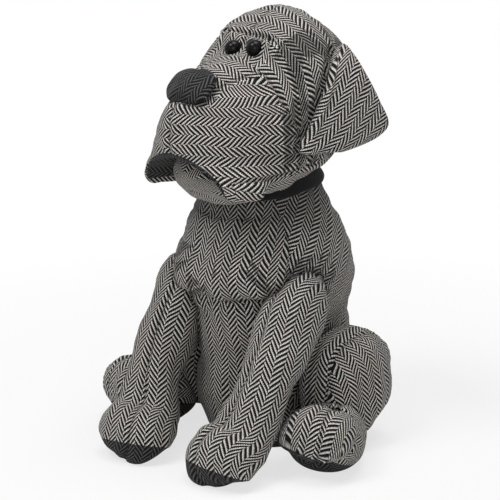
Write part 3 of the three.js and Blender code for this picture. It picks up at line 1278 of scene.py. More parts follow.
@dataclass
class NeckBand:
    """Black band round the neck."""

    tailor: Tailor
    torso: Torso
    height: float = 15
    thickness: float = 2.8
    lean: float = 7
    middle_lift: float = -0.5
    around: int = 180
    rows: int = 14

    def build(self, dresser: Dresser) -> None:
        """Makes the band as a closed strap with soft edges.

        Args:
            dresser: Dresses the piece.
        """
        skin = self.torso.form().skin()
        lean = math.radians(self.lean)
        up = np.array([0, -math.sin(lean), math.cos(lean)])
        spot = np.array([0, -self.torso.neck_set_forward, self.torso.neck_height])
        spot = spot + up * self.middle_lift
        grid = skin.points[1:-1].reshape(skin.rings, skin.around, 3)
        normals = skin.normals()[1:-1].reshape(skin.rings, skin.around, 3)
        heights = (grid - spot) @ up
        turn = np.linspace(0, 2 * math.pi, self.rows * 2, endpoint=False)
        lift = np.sign(np.sin(turn)) * np.abs(np.sin(turn)) ** 0.4 * self.height / 2
        out = (np.sign(np.cos(turn)) * np.abs(np.cos(turn)) ** 0.6 + 1) / 2 * self.thickness
        columns = np.linspace(0, skin.around, self.around, endpoint=False).astype(int)
        points = np.zeros((self.around, len(turn), 3))
        for k, column in enumerate(columns):
            order = np.argsort(heights[:, column])
            rise = heights[order, column]
            for axis in range(3):
                base = np.interp(lift, rise, grid[order, column, axis])
                normal = np.interp(lift, rise, normals[order, column, axis])
                points[k, :, axis] = base + normal * (out + 0.3)
        wave = 0.35 * np.sin(np.arange(self.around) / self.around * 2 * math.pi * 9)
        points[:, :, 2] += wave[:, None]

        def at(column: int, row: int) -> int:
            """Number of the point at a column round the neck and a row round the strap."""
            return (column % self.around) * len(turn) + row % len(turn)

        faces = [
            (at(k, j), at(k + 1, j), at(k + 1, j + 1), at(k, j + 1))
            for k in range(self.around)
            for j in range(len(turn))
        ]
        mesh = bpy.data.meshes.new("neck_strap")
        mesh.from_pydata(((points.reshape(-1, 3) + self.tailor.shift) * MM).tolist(), [], faces)
        work = bmesh.new()
        work.from_mesh(mesh)
        bmesh.ops.recalc_face_normals(work, faces=work.faces)
        work.to_mesh(mesh)
        work.free()
        dresser.dress(set_out(mesh), "band_cloth", "neck_band")


@dataclass
class FrontLeg:
    """Stuffed front leg of one side with its paw."""

    tailor: Tailor
    hand: Hand
    top_height: float = 111
    width: float = 39
    depth: float = 35
    paw_width: float = 50
    paw_height: float = 35
    paw_reach: float = 100
    leg_spacing: float = 92
    right_inset: float = 5
    toe_in: float = 16
    sole_at_toe: float = 15
    sole_at_heel: float = 5
    ankle_reach: float = 50
    heel_reach: float = 69
    seam_angle: float = 12
    filling: Filling = ((0.7, 34), (0.28, 12))

    def place(self, reach: float, height: float) -> Point:
        """Point on the leg's middle plane.

        Args:
            reach: How far ahead along the leg.
            height: Height over the floor.

        Returns:
            The point in millimetres.
        """
        turn = math.radians(self.toe_in)
        bend = max(reach - self.ankle_reach, 0)
        spread = self.leg_spacing / 2 - (self.right_inset if self.hand is Hand.RIGHT else 0)
        out = spread - bend * math.sin(turn)
        return (self.hand.value * out, bend * (1 - math.cos(turn)) - reach, height)

    def form(self) -> StuffedForm:
        """The leg's form.

        Returns:
            The plain form.
        """
        half, depth = self.width / 2, self.depth / 2
        paw, high = self.paw_width / 2, self.paw_height / 2
        return StuffedForm(
            toward=(0, -0.35, 1),
            power=2.15,
            around=160,
            between=18,
            in_dome=18,
            stations=(
                Station(self.place(2, self.top_height + 4)),
                Station(self.place(17, self.top_height - 10), half, depth + 1),
                Station(self.place(34, 78), half, depth),
                Station(self.place(52, 50), half - 2.5, depth - 2),
                Station(self.place(67, 27), paw - 5, high - 3, high + 1),
                Station(self.place(80, 17), paw, high + 1, high - 2),
                Station(self.place(self.paw_reach - 14, 9), paw - 3, high - 4, high - 2),
                Station(self.place(self.paw_reach - 15, -1)),
            ),
        )

    def skin(self, neighbours: Sequence[Neighbour]) -> Skin:
        """The leg's skin, laid against its neighbours and the floor.

        Args:
            neighbours: What it is laid against.

        Returns:
            The skin.
        """
        skin = self.form().skin()
        uneven = unevenness(skin.points, self.filling, 20 + self.hand.value, 5)
        skin.swell(uneven * np.clip(skin.points[:, 2] / self.sole_at_toe, 0, 1))
        for angle in (self._inner(self.seam_angle), 180):
            Seam(skin.meridian(angle, 0.02, 0.93), depth=0.9, pucker=0.3).sew(skin)
        return settle(skin, neighbours)

    def _inner(self, degrees: float) -> float:
        """Angle from the middle line toward the dog's middle."""
        return -degrees * self.hand.value

    def build(self, dresser: Dresser, skin: Skin) -> None:
        """Makes the leg and its sole.

        Args:
            dresser: Dresses the pieces.
            skin: The leg's skin.
        """
        edge = self._inner(self.seam_angle)
        cuts = (Cut(middle=edge, turn=-4, slip=1.5), Cut(middle=edge, turn=4, slip=4.0))
        toe, heel = self.place(self.paw_reach, 0), self.place(self.heel_reach, 0)
        up = square_to_sole(toe, heel, self.sole_at_toe - self.sole_at_heel)
        name = f"front_leg_{self.hand.word}"
        whole = self.tailor.mesh(f"{name}_stuffed", skin, cuts, parted_at(edge))
        spot = (heel[0], heel[1], self.sole_at_heel)
        leg, sole = self.tailor.part_at(whole, f"front_sole_{self.hand.word}_cloth", spot, up)
        dresser.dress(leg, "tweed", name, fill=0.85)
        dresser.dress(sole, "dark_tweed", f"front_sole_{self.hand.word}", fill=0.5)


@dataclass
class Haunch:
    """Stuffed thigh of one side: a thick disc of cloth against the torso."""

    tailor: Tailor
    hand: Hand
    inner: float = 30.5
    length: float = 70
    height: float = 71
    thickness: float = 46
    centre_height: float = 40
    set_back: float = 21
    rim: float = 0.62
    inner_rim: float = 0.40
    weave_lean: float = 0.2
    filling: Filling = ((0.7, 36), (0.25, 12))

    def form(self) -> StuffedForm:
        """The haunch's form.

        Returns:
            The plain form.
        """

        def disc(out: float, share: float) -> Station:
            """One ring of the disc.

            Args:
                out: Share of the thickness.
                share: Share of the disc's full size.

            Returns:
                The ring as a station.
            """
            spot = (
                self.hand.value * (self.inner + out * self.thickness),
                self.set_back,
                self.centre_height,
            )
            high = self.height / 2 * share
            return Station(spot, self.length / 2 * share, high, high)

        return StuffedForm(
            toward=(0, 0, 1),
            power=2.2,
            around=180,
            between=22,
            in_dome=26,
            stations=(
                disc(0, 0),
                disc(0.3, 0.93),
                disc(0.6, 1),
                disc(0.88, 0.82),
                disc(1.06, 0),
            ),
        )

    def skin(self, neighbours: Sequence[Neighbour]) -> Skin:
        """The haunch's skin, laid against its neighbours and the floor.

        Args:
            neighbours: What it is laid against.

        Returns:
            The skin.
        """
        skin = self.form().skin()
        skin.swell(unevenness(skin.points, self.filling, 40 + self.hand.value, 5))
        for share in (self.rim, self.inner_rim):
            Seam(skin.ring(share), depth=0.8, pucker=0.3, shade=0.5).sew(skin)
        return settle(skin, neighbours)

    def round_rim(self, points: Array) -> Array:
        """Lays cloth round the rim of the haunch."""
        back, high = points[..., 1] - self.set_back, points[..., 2] - self.centre_height
        return np.stack([np.abs(points[..., 0]), np.arctan2(back, high) * self.height / 2], -1)

    def round_disc(self, points: Array) -> Array:
        """Lays cloth over the haunch from the middle of its outer side.

        Args:
            points: Points in millimetres.

        Returns:
            Two cloth coordinates for each point.
        """
        aside = points[..., 1:] - np.array([self.set_back, self.centre_height])
        drop = self.inner + self.thickness * 1.06 - np.abs(points[..., :1])
        radius = np.maximum(np.linalg.norm(aside, axis=-1, keepdims=True), 1e-6)
        spread = aside * (1 + 0.45 * np.maximum(drop - 2, 0) / np.maximum(radius, 12))
        lean = self.weave_lean
        return spread @ np.array([[1, -lean], [lean, 1]])

    def build(self, dresser: Dresser, skin: Skin) -> None:
        """Makes the haunch.

        Args:
            dresser: Dresses the piece.
            skin: The haunch's skin.
        """

        def rule(points: Array, ring: Array, angle: Array) -> Array:
            """Outer side, rim and inner side."""
            return np.where(ring > self.rim, 0, np.where(ring > self.inner_rim, 1, 2))

        cuts = (
            Cut(lay=self.round_disc),
            Cut(lay=self.round_rim),
            Cut(lay=self.round_rim, slip=3),
        )
        name = f"haunch_{self.hand.word}"
        piece = self.tailor.mesh(f"{name}_stuffed", skin, cuts, rule)
        dresser.dress(piece, "tweed", name, fill=0.85)


@dataclass
class HindFoot:
    """Stuffed hind foot of one side."""

    tailor: Tailor
    hand: Hand
    length: float = 62
    width: float = 48
    height: float = 39
    spacing: float = 144
    set_forward: float = 22
    splay: float = 20
    toe_lift: float = 9
    sole_at_toe: float = 17
    sole_at_heel: float = 3
    sole_roll: float = 0.3
    seam_angle: float = 14
    weave_lean: float = 8
    filling: Filling = ((0.6, 32), (0.25, 12))

    def place(self, ahead: float, height: float) -> Point:
        """Point on the foot's middle plane.

        Args:
            ahead: How far ahead along the foot.
            height: Height over the floor.

        Returns:
            The point in millimetres.
        """
        turn = math.radians(self.splay)
        side = self.hand.value * (self.spacing / 2 + ahead * math.sin(turn))
        return (side, -self.set_forward - ahead * math.cos(turn), height)

    def form(self) -> StuffedForm:
        """The foot's form.

        Returns:
            The plain form.
        """
        half, wide, high = self.length / 2, self.width / 2, self.height / 2
        middle = high - 1
        lift = self.toe_lift
        return StuffedForm(
            toward=(0, 0, 1),
            power=2.15,
            around=160,
            between=22,
            in_dome=22,
            stations=(
                Station(self.place(-half - 4, middle + 2)),
                Station(self.place(-half * 0.5, middle), wide - 2, high),
                Station(self.place(half * 0.05, middle), wide, high + 1, high),
                Station(self.place(half * 0.5, middle + lift), wide - 1, high - 3.5, high - 6),
                Station(self.place(half * 0.7, middle + 4), wide - 3, high - 8.5, high - 7),
                Station(self.place(half * 0.78, middle - 7)),
            ),
        )

    def skin(self, neighbours: Sequence[Neighbour]) -> Skin:
        """The foot's skin, laid against its neighbours and the floor.

        Args:
            neighbours: What it is laid against.

        Returns:
            The skin.
        """
        skin = self.form().skin()
        uneven = unevenness(skin.points, self.filling, 60 + self.hand.value, 5)
        skin.swell(uneven * np.clip(skin.points[:, 2] / self.sole_at_toe, 0, 1))
        edge = self.seam_angle * self.hand.value
        Seam(skin.meridian(edge, 0.05, 0.98), depth=1.0, pucker=0.35).sew(skin)
        return settle(skin, neighbours)

    def build(self, dresser: Dresser, skin: Skin) -> None:
        """Makes the foot and its sole.

        Args:
            dresser: Dresses the pieces.
            skin: The foot's skin.
        """
        edge = self.seam_angle * self.hand.value
        lean = -self.weave_lean * self.hand.value
        cuts = (Cut(middle=edge, turn=lean, slip=1.5), Cut(middle=edge, turn=lean, slip=4.0))
        toe, heel = self.place(self.length / 2 + 1, 0), self.place(-self.length / 2 - 4, 0)
        roll = self.hand.value * self.sole_roll
        up = square_to_sole(toe, heel, self.sole_at_toe - self.sole_at_heel, roll)
        name = f"hind_foot_{self.hand.word}"
        whole = self.tailor.mesh(f"{name}_stuffed", skin, cuts, parted_at(edge))
        spot = (heel[0], heel[1], self.sole_at_heel)
        foot, sole = self.tailor.part_at(whole, f"hind_sole_{self.hand.word}_cloth", spot, up)
        dresser.dress(foot, "tweed", name, fill=0.85)
        dresser.dress(sole, "dark_tweed", f"hind_sole_{self.hand.word}", fill=0.5)


@dataclass
class Tail:
    """Short stuffed tail at the back."""

    tailor: Tailor
    torso: Torso
    length: float = 42
    thickness: float = 18
    filling: Filling = ((0.4, 22),)

    def form(self) -> StuffedForm:
        """The tail's form.

        Returns:
            The plain form.
        """
        start = self.torso.seat_set_back + self.torso.belly_back
        half = self.thickness / 2
        return StuffedForm(
            toward=(0, 0, 1),
            around=96,
            between=14,
            in_dome=14,
            stations=(
                Station((0, start - 12, 26)),
                Station((0, start, 24), half),
                Station((0, start + self.length * 0.45, 23), half),
                Station((0, start + self.length * 0.75, 27), half - 1),
                Station((0, start + self.length, 34)),
            ),
        )

    def build(self, dresser: Dresser, neighbours: Sequence[Neighbour]) -> None:
        """Makes the tail.

        Args:
            dresser: Dresses the piece.
            neighbours: What the tail is laid against.
        """
        skin = self.form().skin()
        skin.swell(unevenness(skin.points, self.filling, 9))
        Seam(skin.meridian(180, 0.02, 0.98), depth=0.8).sew(skin)
        lay_against(skin, neighbours)
        piece = self.tailor.mesh("tail_stuffed", skin, (Cut(),))
        dresser.dress(piece, "tweed", "tail", fill=0.85)


# Head.


@dataclass
class HeadForms:
    """Forms of the head in its own frame: x across, y backward, z up from the skull's middle."""

    skull_width: float = 104
    skull_top: float = 41.5
    brow_top: float = 27
    stop_top: float = 15.5
    bridge_top: float = 7
    back_of_skull: float = 64
    muzzle_reach: float = 65
    muzzle_width: float = 76
    muzzle_power: float = 1.7
    lip_bottom: float = -69
    jaw_width: float = 67
    jaw_reach: float = 53
    jaw_bottom: float = -77
    mouth_top: float = -42
    lip_thickness: float = 3.4
    lining_gap: float = 0.35
    lining_thickness: float = 1.55
    lining_under_skin: float = 0.8
    lip_flare: float = 11.5
    lip_hem: float = 5
    mouth_aside: float = 2.5
    nose_width: float = 39.5
    nose_length: float = 25.5
    nose_thickness: float = 13
    nose_slope: float = 47
    nose_ahead: float = 40
    nose_height: float = -9.5
    eye_diameter: float = 11
    eye_spacing: float = 17
    eye_shift: float = 3.5
    eye_height: float = 17
    eye_tilt: float = 1.6
    eye_proud: float = 1.2
    ear_width: float = 60
    ear_thickness: float = 4
    ear_top: float = 21
    ear_bottom: float = -41.5
    ear_flare: float = 17
    ear_stand_out: float = 61.5
    ear_lining: float = 1.8
    ear_lining_gap: float = 0.3
    ear_lining_inset: float = 0.5
    ear_roll: float = 2.0
    ear_weave_turn: float = 38

    @staticmethod
    def station(
        ahead: float,
        widest: float,
        half: float,
        top: float,
        bottom: float,
        *powers: float,
    ) -> Station:
        """Station by its distance ahead, widest height, half width, top and bottom."""
        return Station((0, -ahead, widest), half, top - widest, widest - bottom, *powers)

    def skull(self) -> StuffedForm:
        """Skull and muzzle in one skin.

        Returns:
            The plain form.
        """
        half, muzzle = self.skull_width / 2, self.muzzle_width / 2
        top, bridge, lip = self.skull_top, self.bridge_top, self.lip_bottom
        round_ = (self.muzzle_power, 4.5)
        return StuffedForm(
            toward=(0, 0, 1),
            lie=(1, 0, 0),
            power=2.2,
            under_power=3.2,
            around=320,
            between=20,
            in_dome=24,
            stations=(
                Station((0, self.back_of_skull, -8)),
                self.station(-49, -10, half - 15, top - 12, -44),
                self.station(-29, -12, half - 3, top - 2, -58),
                self.station(-10, -16, half, top - 3.5, -66),
                self.station(4.5, -22, half - 1, self.brow_top, -70),
                self.station(10.5, -28, half - 2, self.stop_top, -70),
                self.station(26, -42, muzzle + 8, bridge + 4, lip, *round_),
                self.station(43, -50, muzzle, bridge, lip + 1, *round_),
                self.station(55, -52, muzzle - 8, bridge - 13, lip + 3, *round_),
                Station((0, -self.muzzle_reach, -38), power=round_[0], under_power=round_[1]),
            ),
        )

    def jaw(self) -> StuffedForm:
        """Lower jaw: a pad under the lips.

        Returns:
            The plain form.
        """
        half, top, low = self.jaw_width / 2, self.mouth_top, self.jaw_bottom
        return StuffedForm(
            toward=(0, 0, 1),
            lie=(1, 0, 0),
            power=2.1,
            around=180,
            between=20,
            in_dome=20,
            stations=(
                Station((0, 16, -57)),
                self.station(-2, -58, half - 5, -52, low + 4),
                self.station(20, -60, half, top - 3, low),
                self.station(self.jaw_reach - 15, -58, half - 5, top - 1, low + 3),
                Station((0, -self.jaw_reach, -57)),
            ),
        )

    def mouth(self, inset: float = 0.0) -> StuffedForm:
        """Hollow under the upper lip, open downward and to the front.

        Args:
            inset: How much smaller than the hollow it is on each side.

        Returns:
            The hollow's form.
        """
        half = self.muzzle_width / 2 + self.lip_flare * 0.8 - self.lip_thickness - inset
        half -= self.mouth_aside

        def aside(*sizes: float) -> Station:
            """Station of the hollow, off the middle plane."""
            station = self.station(*sizes)
            return replace(station, at=(self.mouth_aside, *station.at[1:]))

        top = self.mouth_top - inset
        return StuffedForm(
            toward=(0, 0, 1),
            lie=(1, 0, 0),
            power=1.9,
            around=160,
            between=16,
            in_dome=12,
            stations=(
                Station((0, 6, -68)),
                aside(10, -70, half - 12, top - 8, -96),
                aside(32, -70, half - 4, top - 1, -96),
                aside(56, -70, half, top, -96),
                aside(80, -70, half, top, -96),
                Station((0, -105, -70)),
            ),
        )

    def nose(self, seat: Vector) -> StuffedForm:
        """Pad on the sloping front of the muzzle.

        Args:
            seat: Where its middle meets the muzzle.

        Returns:
            The plain form.
        """
        slope = math.radians(self.nose_slope)

        def place(lift: float) -> Point:
            """Point at a lift over the seat, square to the slope."""
            return (0, seat.y - math.sin(slope) * lift, seat.z + math.cos(slope) * lift)

        half, long, thick = self.nose_width / 2, self.nose_length / 2, self.nose_thickness
        return StuffedForm(
            toward=(0, 1, 1),
            power=2.3,
            around=140,
            between=16,
            in_dome=24,
            stations=(
                Station(place(-thick * 0.6)),
                Station(place(-thick * 0.4), half - 1, long - 1),
                Station(place(-thick * 0.12), half, long),
                Station(place(thick * 0.26)),
            ),
        )

    def ear(self, hand: Hand, over: float, under: float, shift: float, inset: float) -> StuffedForm:
        """Ear flap, or its lining, of one side.

        Args:
            hand: Which side.
            over: Thickness over the middle surface.
            under: Thickness under it.
            shift: How far the middle surface is moved outward.
            inset: How far its edge is taken in.

        Returns:
            The plain form.
        """
        side = hand.value
        facing = np.array([0.95 * side, -0.3, 0])

        def place(forward: float, away: float, height: float, half: float) -> Station:
            """One ring of the ear.

            Args:
                forward: How far ahead of the skull's middle.
                away: How far out from the middle plane.
                height: Height over the skull's middle.
                half: Half width, or 0 for an end point.

            Returns:
                The ring as a station.
            """
            spot = (side * away + facing[0] * shift, -forward + facing[1] * shift, height)
            if half <= 0:
                return Station(spot)
            return Station(spot, half - inset, over, under)

        top, wide, out = self.ear_top, self.ear_width, self.ear_stand_out
        return StuffedForm(
            toward=tuple(facing),
            lie=(self.ear_flare * side, 55, 11),
            power=2.4,
            around=200,
            between=14,
            in_dome=14,
            stations=(
                place(-36, out - 19, top, 0),
                place(-31, out - 12, top - 8, wide * 0.13),
                place(-27.5, out - 5.5, top - 22, wide * 0.25),
                place(-25, out - 2, top - 38, wide * 0.38),
                place(-22.5, out, top - 52, wide * 0.49),
                place(-20.5, out, self.ear_bottom + 4, wide * 0.42),
                place(-19.5, out, self.ear_bottom, 0),
            ),
        )


@dataclass
class Head:
    """Stuffed head with its muzzle, mouth, nose, eyes and ears, made in its own frame."""

    tailor: Tailor
    forms: HeadForms = field(default_factory=HeadForms)
    height: float = 235
    set_forward: float = 5
    turn: float = 12
    bridge_half: float = 21
    brow_ahead: float = 5
    cheek_seam: float = -55
    face_half: float = 24
    ear_groove: float = 2.2
    temple_ahead: float = 4.5
    temple_share: float = 0.446
    muzzle_edge: tuple[tuple[float, float], ...] = (
        (-55, 1),
        (-38, 2.6),
        (-30, 3),
        (-24, 6.4),
        (-17, 10),
        (-10, 12.6),
        (-2, 14.4),
        (7, 16),
    )
    muzzle_centre: float = 20
    muzzle_round: float = 44
    lip_turn: float = -57
    lip_out: float = 49
    back_seam: float = 34
    back_centre: Point = (0, 15, -12)
    back_round: float = 48
    ear_shade_reach: float = 3.0
    pad_shade_reach: float = 1.8
    filling: Filling = ((0.7, 40), (0.22, 13))
    jaw_filling: Filling = ((0.6, 30), (0.2, 11))
    nose_filling: Filling = ((0.3, 14),)
    ears: list[Neighbour] = field(default_factory=list)
    ear_edges: list[Array] = field(default_factory=list)
    pad: Neighbour | None = None

    def seat(self, piece: bpy.types.Object) -> bpy.types.Object:
        """Sets a piece that was made in the head's frame on the body."""
        piece.data.transform(self.matrix())
        return piece

    def matrix(self) -> Matrix:
        """The head's place on the body.

        Returns:
            Matrix for meshes that hold the body's shift already.
        """
        shift = Matrix.Translation(Vector(self.tailor.shift * MM))
        spot = Matrix.Translation(Vector((0, -self.set_forward, self.height)) * MM)
        spin = Matrix.Rotation(math.radians(-self.turn), 4, "Z")
        return shift @ spot @ spin @ shift.inverted()

    def on_body(self, skin: Skin) -> Skin:
        """Moves a skin from the head's frame to the body's.

        Args:
            skin: The skin, which is changed.

        Returns:
            The same skin.
        """
        angle = math.radians(-self.turn)
        c, s = math.cos(angle), math.sin(angle)
        x, y = skin.points[:, 0].copy(), skin.points[:, 1].copy()
        skin.points[:, 0] = x * c - y * s
        skin.points[:, 1] = x * s + y * c - self.set_forward
        skin.points[:, 2] += self.height
        return skin

    def round_muzzle(self, points: Array) -> Array:
        """Lays cloth round the muzzle: up its height and along its sides to the front.

        Args:
            points: Points in millimetres.

        Returns:
            Two cloth coordinates for each point.
        """
        ahead, out = -points[..., 1], np.abs(points[..., 0])
        fore = ahead - self.muzzle_centre
        bend = np.arctan2(np.maximum(fore, 0), np.maximum(out, 1e-6))
        along = np.where(fore > 0, self.muzzle_round * bend, fore)
        low = np.clip((self.lip_turn - points[..., 2]) / 8, 0, 1)
        return np.stack([points[..., 2] + low * (out - self.lip_out) * 0.8, along], -1)

    def round_back(self, points: Array) -> Array:
        """Lays cloth round the back of the skull, evenly on all sides of its middle.

        Args:
            points: Points in millimetres.

        Returns:
            Two cloth coordinates for each point.
        """
        apart = points - np.array(self.back_centre)
        out = np.maximum(np.hypot(apart[..., 0], apart[..., 2]), 1e-6)
        reach = self.back_round * np.arctan2(out, apart[..., 1]) / out
        return np.stack([apart[..., 0] * reach, apart[..., 2] * reach], -1)

    def muzzle_back(self, height: Array) -> Array:
        """How far ahead the back edge of the muzzle panel lies at a height."""
        return np.interp(height, *zip(*self.muzzle_edge, strict=True))

    def seams(self, skin: Skin) -> list[Seam]:
        """The head's sewn lines.

        Args:
            skin: The head's skin before it is sewn.

        Returns:
            The seams, as paths on the skin.
        """
        tree = self.tailor.neighbour(skin).tree

        def on_skin(*path: Point) -> Array:
            """Smooth path through points, laid on the skin."""
            fine = through(np.array(path, float), np.linspace(0, 1, 60))
            return np.array([tree.find_nearest(Vector(p))[0] for p in fine])

        half = self.bridge_half
        found = []
        for side in (1, -1):
            heights = (6.7, 2.6, -1.8, -9.6, -17, -24, -30, -38, -50)
            outs = (28.6, 34.9, 39.2, 45.1, 48.8, 50.6, 51, 51, 50)
            back = [
                (side * out, -float(self.muzzle_back(height)), height)
                for height, out in zip(heights, outs, strict=True)
            ]
            top = [(side * half, -48, -3), (side * half, -36, 4), (side * (half + 2), -25, 6)]
            found.append(Seam(on_skin(*top, *back), depth=0.5, width=1.3, pucker=0.2, ridge=0))
            low = on_skin(
                (side * 43, -49, self.cheek_seam),
                (side * 46, -28, self.cheek_seam),
                (side * 47, -10, -52.5),
                (side * 45, 10, -48),
            )
            found.append(Seam(low, depth=1.1, width=1.6, pucker=0.15))
            corner = on_skin((side * 20, -5, 28), (side * 26, -5, 26), (side * 33, -3, 21.5))
            found.append(Seam(corner, depth=0.9, width=1.5, pucker=0.7, pitch=5, shade=0.6))
        brow = on_skin((-24, -4, 27), (-12, -5.5, 29), (0, -6, 29), (12, -5.5, 29), (24, -4, 27))
        found.append(Seam(brow, depth=1.3, width=1.5, pucker=0.4, pitch=6, shade=0.9))
        found.append(Seam(skin.meridian(0, 0.03, 0.5), depth=0.8))
        found.append(Seam(skin.meridian(0, 0.9, 1.0), depth=0.8))
        found.append(Seam(skin.meridian(180, 0.94, 1.0), depth=0.8))
        return found

    def flare(self, skin: Skin) -> Skin:
        """Spreads the lower edge of the lips outward.

        Args:
            skin: The head's skin, which is changed.

        Returns:
            The same skin.
        """
        ahead, height = -skin.points[:, 1], skin.points[:, 2]
        fore = np.clip((ahead - 18) / 18, 0, 1)
        low = np.clip((-42 - height) / 20, 0, 1.2)
        spread = self.forms.lip_flare * (fore * fore * (3 - 2 * fore)) * low**1.4
        skin.points[:, 0] += np.tanh(skin.points[:, 0] / 20) * spread
        return skin

    def panels(self) -> tuple[Sequence[Cut], PanelRule]:
        """The head's panels.

        Returns:
            How they are cut, and which faces they take.
        """

        def rule(points: Array, ring: Array, angle: Array) -> Array:
            """Skull, sides of the muzzle, bridge, face, underside, temples and back.

            Args:
                points: Middle of each face.
                ring: Ring share of each face. Not used.
                angle: Angle of each face from the middle line. Not used.

            Returns:
                One panel number for each face.
            """
            ahead, out, height = -points[:, 1], np.abs(points[:, 0]), points[:, 2]
            muzzle = ahead > self.muzzle_back(height)
            reach = self.bridge_half + np.clip((28 - ahead) * 0.7, 0, 10)
            bridge = muzzle & (out < reach) & (height > -12) & (ahead < 56)
            face = (ahead > self.brow_ahead) & ~muzzle & (out < self.face_half) & (height > 0)
            under = height < self.cheek_seam + np.clip((10 - ahead) * 0.25, 0, 6)
            panel = np.where(muzzle, np.where(points[:, 0] > 0, 1, 2), 0)
            panel = np.where(bridge, 3, panel)
            panel = np.where(face, 4, panel)
            temple = (ahead > self.temple_ahead) & (panel == 0)
            panel = np.where(temple, np.where(points[:, 0] > 0, 6, 7), panel)
            panel = np.where((ahead < -self.back_seam) & (panel == 0), 8, panel)
            return np.where(under & (ahead < 49) & (panel != 8), 5, panel)

        cuts = (
            Cut(turn=90),
            Cut(lay=self.round_muzzle),
            Cut(lay=self.round_muzzle, slip=3.2),
            Cut(turn=78, slip=2),
            Cut(slip=3.2),
            Cut(lay=self.round_muzzle, slip=2),
            Cut(middle=-90, turn=90, tie=self.temple_share),
            Cut(middle=90, turn=90, tie=self.temple_share),
            Cut(lay=self.round_back),
        )
        return cuts, rule

    def build(self, dresser: Dresser) -> Neighbour:
        """Makes the head's pieces.

        Args:
            dresser: Dresses the pieces.

        Returns:
            The head as something in the body's frame that others give way to.
        """
        forms = self.forms
        skin = self.flare(forms.skull().skin())
        plain = skin.points.copy()
        for seam in self.seams(skin):
            seam.sew(skin)
        skin.swell(unevenness(plain, self.filling, 7))
        skull = self.tailor.neighbour(skin)
        for hand in Hand:
            self.eye(dresser, skull, hand)
            self.ear(dresser, skull, hand)
        self.nose(dresser, skull)
        # Painted shade on the head where the ears lie close to it.
        for ear in self.ears:
            ear.shade(skin, self.ear_shade_reach)
        # A groove just ahead of each ear's front edge, with painted shade along it.
        for edge in self.ear_edges:
            ahead = edge - np.array([0, self.ear_groove, 0])
            groove = np.array([skull.tree.find_nearest(Vector(p))[0] for p in ahead])
            Seam(groove, depth=1.6, width=2.0, pucker=0.2, shade=1.0).sew(skin)
        # Painted shade round the nose pad.
        self.pad.shade(skin, self.pad_shade_reach)
        head = self.tailor.mesh("head_stuffed", skin, *self.panels())
        mouth = self.tailor.mesh("mouth_cutter", forms.mouth().skin())
        self.carve(head, ("DIFFERENCE", mouth))
        dresser.dress(self.seat(head), "tweed", "head", fill=0.85)
        self.lining(dresser)
        self.jaw(dresser)
        return self.tailor.neighbour(self.on_body(skin))

    def carve(self, piece: bpy.types.Object, *cuts: tuple[str, bpy.types.Object]) -> None:
        """Cuts a piece by others, which are then removed.

        Args:
            piece: The piece.
            *cuts: Blender's operation and the tool of each cut.
        """
        for operation, tool in cuts:
            modifier = piece.modifiers.new(tool.name, "BOOLEAN")
            modifier.operation = operation
            modifier.object = tool
            modifier.solver = "EXACT"
        bpy.context.view_layer.update()
        graph = bpy.context.evaluated_depsgraph_get()
        carved = bpy.data.meshes.new_from_object(piece.evaluated_get(graph))
        piece.modifiers.clear()
        piece.data = carved
        for _, tool in cuts:
            bpy.data.objects.remove(tool)

    def lining(self, dresser: Dresser) -> None:
        """Makes the dark cloth inside the lips, as a shell within the mouth's hollow.

        Args:
            dresser: Dresses the piece.
        """
        forms = self.forms
        hollow = forms.mouth(forms.lining_gap).skin()
        shell = self.tailor.mesh("lip_lining_cloth", hollow, (Cut(turn=30),))
        skull = self.flare(forms.skull().skin(-forms.lining_under_skin))
        outer = self.tailor.mesh("lip_cutter", skull)
        rest = forms.mouth(forms.lining_gap + forms.lining_thickness).skin()
        inner = self.tailor.mesh("mouth_inner", rest)
        self.carve(shell, ("INTERSECT", outer), ("DIFFERENCE", inner))
        hem = (0, 0, forms.lip_bottom + forms.lip_hem)
        shell, edge = self.tailor.part_at(shell, "lip_lining_edge", hem, (0, 0, 1))
        bpy.data.objects.remove(edge)
        dresser.dress(self.seat(shell), "dark_tweed", "lip_lining", fill=0.1)

    def jaw(self, dresser: Dresser) -> None:
        """Makes the lower jaw.

        Args:
            dresser: Dresses the piece.
        """
        skin = self.forms.jaw().skin()
        skin.swell(unevenness(skin.points, self.jaw_filling, 17))
        cut = Cut(lay=lambda p: self.round_muzzle(p * np.array([1.3, 1, 1])), turn=-20)
        piece = self.tailor.mesh("lower_jaw_stuffed", skin, (cut,))
        dresser.dress(self.seat(piece), "tweed", "lower_jaw", fill=0.8)

    def nose(self, dresser: Dresser, skull: Neighbour) -> None:
        """Makes the nose pad on the head's skin.

        Args:
            dresser: Dresses the piece.
            skull: The head's skin.
        """
        slope = math.radians(self.forms.nose_slope)
        inward = Vector((0, math.sin(slope), -math.cos(slope)))
        through_point = Vector((0, -self.forms.nose_ahead, self.forms.nose_height))
        seat = skull.tree.ray_cast(through_point - inward * 200, inward)[0]
        skin = self.forms.nose(seat).skin()
        skin.swell(unevenness(skin.points, self.nose_filling, 31))
        self.pad = self.tailor.neighbour(skin)
        skull.press_out(skin, PAD_GAP)
        up = (0.0, math.cos(slope), math.sin(slope))
        piece = self.tailor.mesh("nose_pad", skin, (Cut(lay=flat((1, 0, 0), up), turn=20),))
        dresser.dress(self.seat(piece), "dark_tweed", "nose", fill=0.9, finish="nose_tweed")

